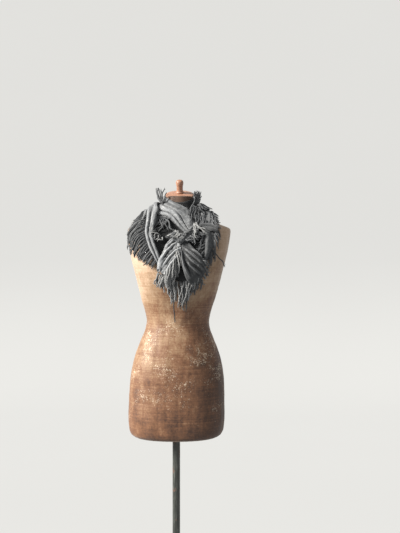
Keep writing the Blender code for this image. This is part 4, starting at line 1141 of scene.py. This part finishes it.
def woven_wool(look):
    """Wool cloth, woven in a small twill and washed soft: matt heathered grey under a pale bloom of hairs."""
    made, add, shader = blank("charcoal_wool_washed_twill")
    uv = add("UVMap", uv_map="cloth")
    # Threads are about 0.8 mm apart and drawn at twice that, so that they show
    drawn = WAVE / look.thread
    twill = add("TexWave", uv, drawn, 1.2, 1.5, 1.5, wave_type="BANDS", bands_direction="DIAGONAL")
    cross = add("TexWave", uv, drawn, 1.0, 1.5, wave_type="BANDS", bands_direction="X")
    weave = add("Math", twill.outputs["Fac"], cross.outputs["Fac"], operation="MULTIPLY")
    # Yarns of unlike greys, blended in streaks along the cloth, and clouds where they differ
    heather = add("TexNoise", add("Mapping", uv, Scale=(*fit(16.7, 2.38), 1)), 1.0, 5, 0.65)
    cloudy = add("TexNoise", uv, fit(38.5), 4, 0.6)
    hairs = add("TexNoise", uv, fit(1.11), 3, 0.7)
    clouds = add("Math", cloudy, 0.4, operation="MULTIPLY")
    mixed = add("Math", heather, 0.6, clouds, operation="MULTIPLY_ADD")
    greys = ((0.34, look.cloth_dark), (0.50, look.cloth), (0.66, look.cloth_light))
    base = add("ValToRGB", mixed, stops=greys)
    # Painted shade and highlight, not wear: darker in the grooves, paler along the fold ridges, and whole
    # cloths scaled by the light that falls on them
    fold = add("Attribute", attribute_name="tone_and_shade", attribute_type="GEOMETRY").outputs["Fac"]
    worn = add("MapRange", fold, To_Min=0.12, To_Max=1.7)
    shade = add("Math", add("MapRange", weave, To_Min=0.82, To_Max=1.12), worn, operation="MULTIPLY")
    colour = add("Mix", 1.0, base, shade, data_type="RGBA", blend_type="MULTIPLY")
    fuzz = add("Math", weave, 0.8, hairs, operation="MULTIPLY_ADD")
    crinkle = add("TexNoise", uv, fit(14.3), 3, 0.5)
    soft = add("Bump", Height=crinkle, Distance=1.6 * MM, Strength=0.5)
    bump = add("Bump", Height=fuzz, Distance=0.5 * MM, Strength=0.7, Normal=soft)
    feed(shader, Base_Color=colour, Normal=bump, Roughness=0.92, Specular_IOR_Level=0.25)
    feed(shader, Sheen_Weight=0.35, Sheen_Roughness=0.45)
    return made


def plied_wool(look):
    """Wool yarns twisted together into tassels: matt, with slanting plies and darker gaps between them."""
    made, add, shader = blank("charcoal_wool_plied_yarn")
    uv = add("UVMap", uv_map="cloth")
    # A full twist of the tassel takes about 11 mm and shows two plies
    slant = add("Mapping", uv, Rotation=(0, 0, math.radians(52)))
    plies = add("TexWave", slant, WAVE / look.ply, 0.8, 1.0, wave_type="BANDS", bands_direction="X")
    plies = plies.outputs["Fac"]
    hairs = add("TexNoise", uv, fit(1.43), 3, 0.7)
    # Each strand's own yarn tone, with painted shade on lower and shaded strands and painted light on those
    # in the light
    tone_and_shade = add("Attribute", attribute_name="tone_and_shade", attribute_type="GEOMETRY").outputs["Fac"]
    own = add("Math", tone_and_shade, 0.6, operation="MULTIPLY")
    mixed = add("Math", hairs, 0.35, own, operation="MULTIPLY_ADD")
    base = add("ValToRGB", mixed, stops=((0.12, look.yarn_dark), (0.48, look.yarn), (0.85, look.yarn_light)))
    shade = add("MapRange", plies, To_Min=0.6, To_Max=1.15)
    colour = add("Mix", 1.0, base, shade, data_type="RGBA", blend_type="MULTIPLY")
    fuzz = add("Math", plies, 1.2, hairs, operation="MULTIPLY_ADD")
    bump = add("Bump", Height=fuzz, Distance=0.6 * MM, Strength=0.8)
    feed(shader, Base_Color=colour, Normal=bump, Roughness=0.92, Specular_IOR_Level=0.25)
    feed(shader, Sheen_Weight=0.3, Sheen_Roughness=0.45)
    return made


# Heights over the floor between which the form's varnish turns from dark to pale
DARK_HEIGHT, PALE_HEIGHT = HEM_HEIGHT, 1.40


def varnished_papier_mache(look):
    """Pasted paper under old varnish: paler up the chest, drawn in fine lines, with drips and flakes."""
    made, add, shader = blank("varnished_papier_mache")
    spot = add("TexCoord").outputs["Object"]
    height = add("SeparateXYZ", spot).outputs["Z"]
    rise = add("MapRange", height, DARK_HEIGHT, PALE_HEIGHT)
    tone = add("ValToRGB", rise, stops=(
        (0.0, 0.14), (0.12, 0.16), (0.30, 0.24), (0.46, 0.33), (0.60, 0.34), (0.70, 0.45),
        (0.84, 0.64), (1.0, 0.76),
    ))
    blotch = add("TexNoise", spot, fit(100), 6, 0.62, Distortion=0.4)
    # The paper was rubbed down round the form, so the stain lies in fine level lines
    level = add("Mapping", spot, Scale=fit(143, 143, 4.17))
    lines = add("TexNoise", level, 1.0, 5, 0.7, Distortion=0.7)
    fall = add("Mapping", spot, Scale=fit(14.3, 14.3, 167))
    drips = add("TexNoise", fall, 1.0, 5, 0.7, Distortion=0.7)
    fibre = add("TexNoise", spot, fit(6.67), 5, 0.72)
    for pattern, share in ((blotch, 0.80), (lines, 0.44), (drips, 0.34), (fibre, 0.44)):
        tone = add("Math", pattern, share, tone, operation="MULTIPLY_ADD")
    # Painted light: the wearer's right, on the key light's side, is painted paler and the left darker
    key_side_light = add("MapRange", add("SeparateXYZ", spot).outputs["X"], -0.15, 0.15, 0.95, 1.12)
    tone = add("Math", tone, key_side_light, operation="SUBTRACT")
    base = add("ValToRGB", tone, stops=(
        (0.02, look.shell_dark), (0.22, look.shell_brown), (0.42, look.shell_tan), (0.70, look.shell_pale),
    ))
    # Small chips through the varnish to pale paper, in clusters that are thickest round the waist
    worn = ((0.03, 0.10), (0.16, 0.19), (0.34, 0.240), (0.50, 0.243), (0.62, 0.15), (0.8, 0.08))
    waist = add("ValToRGB", rise, stops=worn)
    where = add("TexNoise", spot, fit(58.8), 4, 0.65)
    chips = add("TexNoise", spot, fit(4.17), 4, 0.7, Distortion=0.8)
    flake = add("Math", where, 0.6, waist, operation="MULTIPLY_ADD")
    flake = add("Math", chips, flake, operation="ADD")
    flake = add("MapRange", flake, 1.14, 1.20, 0.0, 0.8)
    base = add("Mix", flake, base, look.shell_flake, data_type="RGBA")
    # The hem's edge is rubbed to bare paper
    hem = add("MapRange", height, HEM_HEIGHT + 3 * MM, HEM_HEIGHT + 10 * MM, 0.5, 0.0)
    base = add("Mix", hem, base, look.shell_pale, data_type="RGBA")
    # Painted shadow: the neck just under its cap is painted dark, as in the cap's shade
    top = HEM_HEIGHT + NECK_TOP
    cap_shadow = add("MapRange", height, top - 55 * MM, top - 35 * MM, 0.0, 0.9)
    base = add("Mix", cap_shadow, base, look.shell_dark, data_type="RGBA")
    gloss = add("MapRange", drips, To_Min=look.shell_gloss - 0.14, To_Max=look.shell_gloss + 0.2)
    wiped = add("Bump", Height=lines, Distance=0.5 * MM, Strength=0.3)
    paper = add("TexNoise", spot, fit(16.7), 5, 0.6)
    rough = add("Bump", Height=paper, Distance=1.4 * MM, Strength=0.4, Normal=wiped)
    chipped = add("Bump", Height=flake, Distance=0.4 * MM, Strength=0.5, Normal=rough, invert=True)
    feed(shader, Base_Color=base, Normal=chipped, Roughness=gloss, IOR=1.5)
    feed(shader, Sheen_Weight=0.12, Sheen_Roughness=0.5)
    return made


def waxed_wood(look):
    """Turned hardwood, stained and waxed: fine lengthwise grain under a soft sheen."""
    made, add, shader = blank("turned_waxed_hardwood")
    spot = add("TexCoord").outputs["Object"]
    drawn = add("Mapping", spot, Scale=fit(3.85, 16.7, 3.85))
    grain = add("TexNoise", drawn, 1.0, 5, 0.6, Distortion=0.5)
    stain = add("Math", add("TexNoise", spot, fit(18.2), 3), 0.3, operation="MULTIPLY")
    tone = add("Math", grain, 0.7, stain, operation="MULTIPLY_ADD")
    base = add("ValToRGB", tone, stops=((0.32, look.wood_dark), (0.52, look.wood), (0.70, look.wood_light)))
    bump = add("Bump", Height=grain, Distance=0.3 * MM, Strength=0.4)
    feed(shader, Base_Color=base, Normal=bump, Roughness=0.42)
    return made


def painted_pipe(look):
    """Steel pipe, brush-painted black long ago: satin paint with scuffs, and rust where it has gone."""
    made, add, shader = blank("worn_black_painted_pipe")
    spot = add("TexCoord").outputs["Object"]
    scuff = add("TexNoise", add("Mapping", spot, Scale=(1, 1, 0.12)), fit(5.88), 6, 0.7)
    patch = add("TexNoise", spot, fit(29.4), 5, 0.65)
    # Most rust has come through just under the form
    high = add("MapRange", add("SeparateXYZ", spot).outputs["Z"], 0.45, 0.66, 0.0, 0.14)
    rusty = add("Math", patch, high, operation="ADD")
    rust = add("MapRange", rusty, 0.62, 0.70)
    tones = ((0.35, look.paint_dark), (0.55, look.paint), (0.72, look.paint_worn))
    paint = add("ValToRGB", scuff, stops=tones)
    base = add("Mix", rust, paint, look.rust, data_type="RGBA")
    dull = add("MapRange", rust, To_Min=0.34, To_Max=0.85)
    bump = add("Bump", Height=patch, Distance=0.6 * MM, Strength=0.4)
    feed(shader, Base_Color=base, Normal=bump, Roughness=dull)
    return made


def cast_iron(look):
    """Sand-cast iron, painted black: a fine pebbled skin, rubbed paler in patches."""
    made, add, shader = blank("sand_cast_black_iron")
    spot = add("TexCoord").outputs["Object"]
    sand = add("TexNoise", spot, fit(2.38), 3, 0.6)
    worn = add("TexNoise", spot, fit(41.7), 5, 0.65)
    base = add("ValToRGB", worn, stops=((0.3, look.paint_dark), (0.55, look.paint), (0.78, look.paint_worn)))
    bump = add("Bump", Height=sand, Distance=0.5 * MM, Strength=0.7)
    feed(shader, Base_Color=base, Normal=bump, Roughness=0.72, Specular_IOR_Level=0.3)
    return made


def studio_paper(look):
    """Pale backdrop paper, hung as a sweep and lit through from behind: even and matt, faintly cloudy."""
    made, add, shader = blank("matt_pale_backdrop_paper")
    cloudy = add("TexNoise", add("TexCoord").outputs["Object"], fit(833), 3)
    base = add("ValToRGB", cloudy, stops=((0.3, [0.97 * part for part in look.paper]), (0.7, look.paper)))
    feed(shader, Base_Color=base, Roughness=0.95, Specular_IOR_Level=0.1)
    feed(shader, Emission_Color=linear("#fffefb"), Emission_Strength=look.glow)
    return made


def colour_property(name, code, description):
    """A colour for the sidebar with its default from an sRGB hex code."""
    return bpy.props.FloatVectorProperty(
        name=name, description=description, subtype="COLOR", size=3, min=0, max=1, default=linear(code)
    )


def size_property(name, default, least, most, description):
    """A length for the sidebar, given in millimetres."""
    return bpy.props.FloatProperty(
        name=name, description=description, default=default * MM, min=least * MM, max=most * MM,
        unit="LENGTH", precision=4,
    )


def strength_property(name, default, most, description):
    """A light's strength for the sidebar."""
    return bpy.props.FloatProperty(name=name, description=description, default=default, min=0, max=most)


class ScarfLook(bpy.types.PropertyGroup):
    """Sizes and colours of the scarf."""

    cloth_thickness: size_property("Cloth thickness", 2.0, 0.5, 4, "Thickness of the woven cloth")
    tassel_thickness: size_property("Tassel thickness", 4.4, 1, 6, "Thickness of a twisted strand")
    thread: size_property("Thread spacing", 1.7, 0.3, 4, "Distance between the drawn threads")
    ply: size_property("Ply width", 2.6, 0.5, 6, "Width of one ply of a tassel")
    cloth_dark: colour_property("Cloth, dark yarn", "#5c5d5e", "Darkest yarn of the heathered cloth")
    cloth: colour_property("Cloth", "#7c7d7d", "Usual colour of the heathered cloth")
    cloth_light: colour_property("Cloth, light yarn", "#9d9c99", "Palest yarn of the heathered cloth")
    yarn_dark: colour_property("Fringe, dark", "#2c2d2f", "Darkest strands of the fringe")
    yarn: colour_property("Fringe", "#666767", "Usual colour of the fringe")
    yarn_light: colour_property("Fringe, light", "#a9a8a4", "Palest strands of the fringe")


class FormLook(bpy.types.PropertyGroup):
    """Colours and gloss of the dress form, its cap and its stand."""

    # The darkest varnish colour also paints the shadow under the cap
    shell_dark: colour_property("Shell, dark", "#472c1b", "Old varnish at its darkest")
    shell_brown: colour_property("Shell, red-brown", "#764e31", "Red-brown varnish of the hips")
    shell_tan: colour_property("Shell, tan", "#9a7a5a", "Tan of the waist and belly")
    shell_pale: colour_property("Shell, pale", "#c6a88c", "Pale tan of the chest")
    shell_flake: colour_property("Flakes", "#e0ccb0", "Bare paper where the varnish has flaked")
    shell_gloss: bpy.props.FloatProperty(
        name="Shell roughness", description="Roughness of the old varnish", default=0.6, min=0.2, max=0.9,
        subtype="FACTOR",
    )
    wood_dark: colour_property("Wood, dark", "#8f6857", "Dark grain of the cap and knob")
    wood: colour_property("Wood", "#aa7d63", "Usual colour of the cap and knob")
    wood_light: colour_property("Wood, light", "#bb9277", "Pale grain of the cap and knob")
    paint_dark: colour_property("Paint, dark", "#1d1e1b", "Stand paint at its darkest")
    paint: colour_property("Paint", "#3c3e39", "Usual colour of the stand's paint")
    paint_worn: colour_property("Paint, worn", "#6f716a", "Stand paint rubbed thin")
    rust: colour_property("Rust", "#574236", "Rust on the pole")


class StageLook(bpy.types.PropertyGroup):
    """The plain studio round the object."""

    paper: colour_property("Floor and wall", "#62625f", "Backdrop paper by the light that falls on it")
    glow: strength_property("Paper glow", 0.60, 1, "How much light comes through the backdrop paper")
    key: strength_property("Key light", 8.4, 20, "Strength of the soft light from the left")
    fill: strength_property("Fill light", 0.46, 2, "Strength of the even light from all round")


class SCARF_OT_form(bpy.types.Operator):
    """Builds the dress form's papier-mache shell"""

    bl_idname = "scarf.form"
    bl_label = "Dress form"

    def execute(self, context):
        made = varnished_papier_mache(context.scene.form_look)
        finished("form_shell", form_shell(144, 150), made, "dress_form")
        return {"FINISHED"}


class SCARF_OT_cap(bpy.types.Operator):
    """Builds the neck's wooden cap and its turned knob"""

    bl_idname = "scarf.cap"
    bl_label = "Cap and knob"

    def execute(self, context):
        made = waxed_wood(context.scene.form_look)
        slant = Vector((0, -math.sin(NECK_TILT), math.cos(NECK_TILT)))
        top = Vector((LEAN * NECK_TOP, 0, HEM_HEIGHT + NECK_TOP))
        cap = turned(CAP_PROFILE, 96, 40, top + slant * GAP, NECK_TILT)
        finished("cap_disc", cap, made, "neck_cap")
        knob = turned(KNOB_PROFILE, 64, 60, top + slant * (CAP_PROFILE[-1][1] + 2 * GAP), NECK_TILT)
        finished("turned_knob", knob, made, "cap_knob")
        return {"FINISHED"}


class SCARF_OT_stand(bpy.types.Operator):
    """Builds the pole and its round base"""

    bl_idname = "scarf.stand"
    bl_label = "Stand"

    def execute(self, context):
        look = context.scene.form_look
        pipe = (
            (POLE_RADIUS - 1 * MM, POLE_FOOT),
            (POLE_RADIUS, POLE_FOOT + 1 * MM),
            (POLE_RADIUS, HEM_HEIGHT + POLE_IN_FORM),
        )
        finished("stand_pole", turned(pipe, 48, 24), painted_pipe(look), "pole")
        finished("stand_base", turned(BASE_PROFILE, 128, 90), cast_iron(look), "base_plate")
        return {"FINISHED"}


class SCARF_OT_cloths(bpy.types.Operator):
    """Lays the scarf's cloth: the under layer, collar, loop, tails, band and flap"""

    bl_idname = "scarf.cloths"
    bl_label = "Scarf cloth"

    def execute(self, context):
        look = context.scene.scarf_look
        made = woven_wool(look)
        bm, *laid = shell(*yoke_middle(420, 90), look.cloth_thickness, closed=True)
        lay_wool(finished("scarf_under_layer", bm, made, "yoke"), *laid)
        for node, (name, _, sections, lines, *manner, _) in CLOTHS.items():
            middle = strip_middle(cloth_path(node), sections, lines, *manner)
            bm, uv, tone_and_shade, _ = shell(*middle, look.cloth_thickness)
            lay_wool(finished(name, bm, made, node), uv, tone_and_shade)
        return {"FINISHED"}


class SCARF_OT_fringes(bpy.types.Operator):
    """Ties the scarf's twisted fringes"""

    bl_idname = "scarf.fringes"
    bl_label = "Fringes"

    def execute(self, context):
        look = context.scene.scarf_look
        made = plied_wool(look)
        for seed, (node, batches) in enumerate(FRINGES.items()):
            bm, *laid = tassels(batches, seed, look.tassel_thickness)
            lay_wool(finished(node.replace("fringe", "tassels"), bm, made, node), *laid)
        return {"FINISHED"}


class SCARF_OT_declare(bpy.types.Operator):
    """Does nothing: no cloth's flat size or fringes are declared here"""

    bl_idname = "scarf.declare"
    bl_label = "Flat sizes"

    def execute(self, context):
        return {"FINISHED"}


# The camera, with its focal length in widths of its sensor, and the key light's bearing and height
CAMERA_PLACE = (0.0848, -2.4, 1.26)
SENSOR = 36
FOCAL_SHARE = 670 / 533
KEY_AZIMUTH = math.radians(-68)
KEY_HEIGHT = math.radians(28)
KEY_SPREAD = math.radians(18)

# The sweep: its front edge and the start of its curve along Y, the curve's radius, and the wall's height
FLOOR_FRONT = -6.0
FLOOR_HALF_WIDTH = 9.0
CURVE_START = 3.4
CURVE_RADIUS = 1.3
WALL_TOP = 4.2
FLOOR_STEPS = 60


def studio_floor():
    """A floor that curves up into a wall far behind the object."""
    bm = bmesh.new()
    bmesh.ops.create_grid(bm, x_segments=2, y_segments=FLOOR_STEPS, size=1)
    flat = CURVE_START - FLOOR_FRONT
    bend = CURVE_RADIUS * math.pi / 2
    total = flat + bend + WALL_TOP
    for vert in bm.verts:
        run = (vert.co.y + 1) / 2 * total
        turn = min(max((run - flat) / CURVE_RADIUS, 0), math.pi / 2)
        y = FLOOR_FRONT + min(run, flat) + CURVE_RADIUS * math.sin(turn)
        z = CURVE_RADIUS * (1 - math.cos(turn)) + max(run - flat - bend, 0)
        vert.co = Vector((vert.co.x * FLOOR_HALF_WIDTH, y, z))
    bmesh.ops.recalc_face_normals(bm, faces=bm.faces[:])
    return bm


def studio_world(fill):
    """Even light from all round; what the camera sees past the floor is as pale as it, and lights nothing."""
    world = bpy.data.worlds.new("studio_air")
    world.use_nodes = True
    air = world.node_tree.nodes["Background"]
    feed(air, linear("#eef2f6"), fill)
    add = partial(add_node, world.node_tree)
    seen = add("Background", linear("#eeedea"))
    rays = add("LightPath").outputs["Is Camera Ray"]
    feed(world.node_tree.nodes["World Output"], add("MixShader", rays, air, seen))
    return world


class SCARF_OT_stage(bpy.types.Operator):
    """Sets up the plain studio, its soft light and the camera"""

    bl_idname = "scarf.stage"
    bl_label = "Studio"

    def execute(self, context):
        scene = context.scene
        look = scene.stage_look
        mesh = bpy.data.meshes.new("studio_floor")
        bm = studio_floor()
        bm.to_mesh(mesh)
        bm.free()
        mesh.shade_smooth()
        mesh.materials.append(studio_paper(look))
        floor = bpy.data.objects.new("studio_floor", mesh)
        scene.collection.objects.link(floor)
        # In a large room the floor and wall are too far off to throw much light back
        floor.visible_diffuse = False
        scene.world = studio_world(look.fill)
        sun = bpy.data.lights.new("soft_key", "SUN")
        sun.energy = look.key
        sun.angle = KEY_SPREAD
        sun.color = linear("#fffdfa")
        key = bpy.data.objects.new("soft_key", sun)
        scene.collection.objects.link(key)
        level = math.cos(KEY_HEIGHT)
        aim = Vector((math.sin(KEY_AZIMUTH) * level, -math.cos(KEY_AZIMUTH) * level, math.sin(KEY_HEIGHT)))
        key.rotation_euler = aim.to_track_quat("Z", "Y").to_euler()
        camera = bpy.data.objects.new("camera", bpy.data.cameras.new("camera"))
        scene.collection.objects.link(camera)
        camera.location = CAMERA_PLACE
        camera.rotation_euler = (math.pi / 2, 0, 0)
        camera.data.sensor_width = SENSOR
        camera.data.lens = FOCAL_SHARE * SENSOR
        scene.camera = camera
        scene.view_settings.view_transform = "Standard"
        return {"FINISHED"}


class SCARF_PT_panel(bpy.types.Panel):
    """Lists the scarf's builders and what they read"""

    bl_idname = "SCARF_PT_panel"
    bl_label = "Fringed scarf"
    bl_space_type = "VIEW_3D"
    bl_region_type = "UI"
    bl_category = "Scarf"

    def draw(self, context):
        for operator in OPERATORS:
            self.layout.operator(operator.bl_idname)
        for group in ("scarf_look", "form_look", "stage_look"):
            look = getattr(context.scene, group)
            box = self.layout.box()
            for name in look.__annotations__:
                box.prop(look, name)


OPERATORS = (
    SCARF_OT_form, SCARF_OT_cap, SCARF_OT_stand, SCARF_OT_cloths, SCARF_OT_fringes, SCARF_OT_declare,
    SCARF_OT_stage,
)
LOOKS = {"scarf_look": ScarfLook, "form_look": FormLook, "stage_look": StageLook}


def register():
    """Makes the looks, operators and panel known to Blender."""
    for name, look in LOOKS.items():
        bpy.utils.register_class(look)
        setattr(bpy.types.Scene, name, bpy.props.PointerProperty(type=look))
    for known in (*OPERATORS, SCARF_PT_panel):
        bpy.utils.register_class(known)


def unregister():
    """Takes them away again."""
    for known in (SCARF_PT_panel, *reversed(OPERATORS)):
        bpy.utils.unregister_class(known)
    for name, look in LOOKS.items():
        delattr(bpy.types.Scene, name)
        bpy.utils.unregister_class(look)


def main():
    """Builds everything in order."""
    register()
    for operator in OPERATORS:
        group, name = operator.bl_idname.split(".")
        getattr(getattr(bpy.ops, group), name)()


if __name__ == "__main__":
    main()
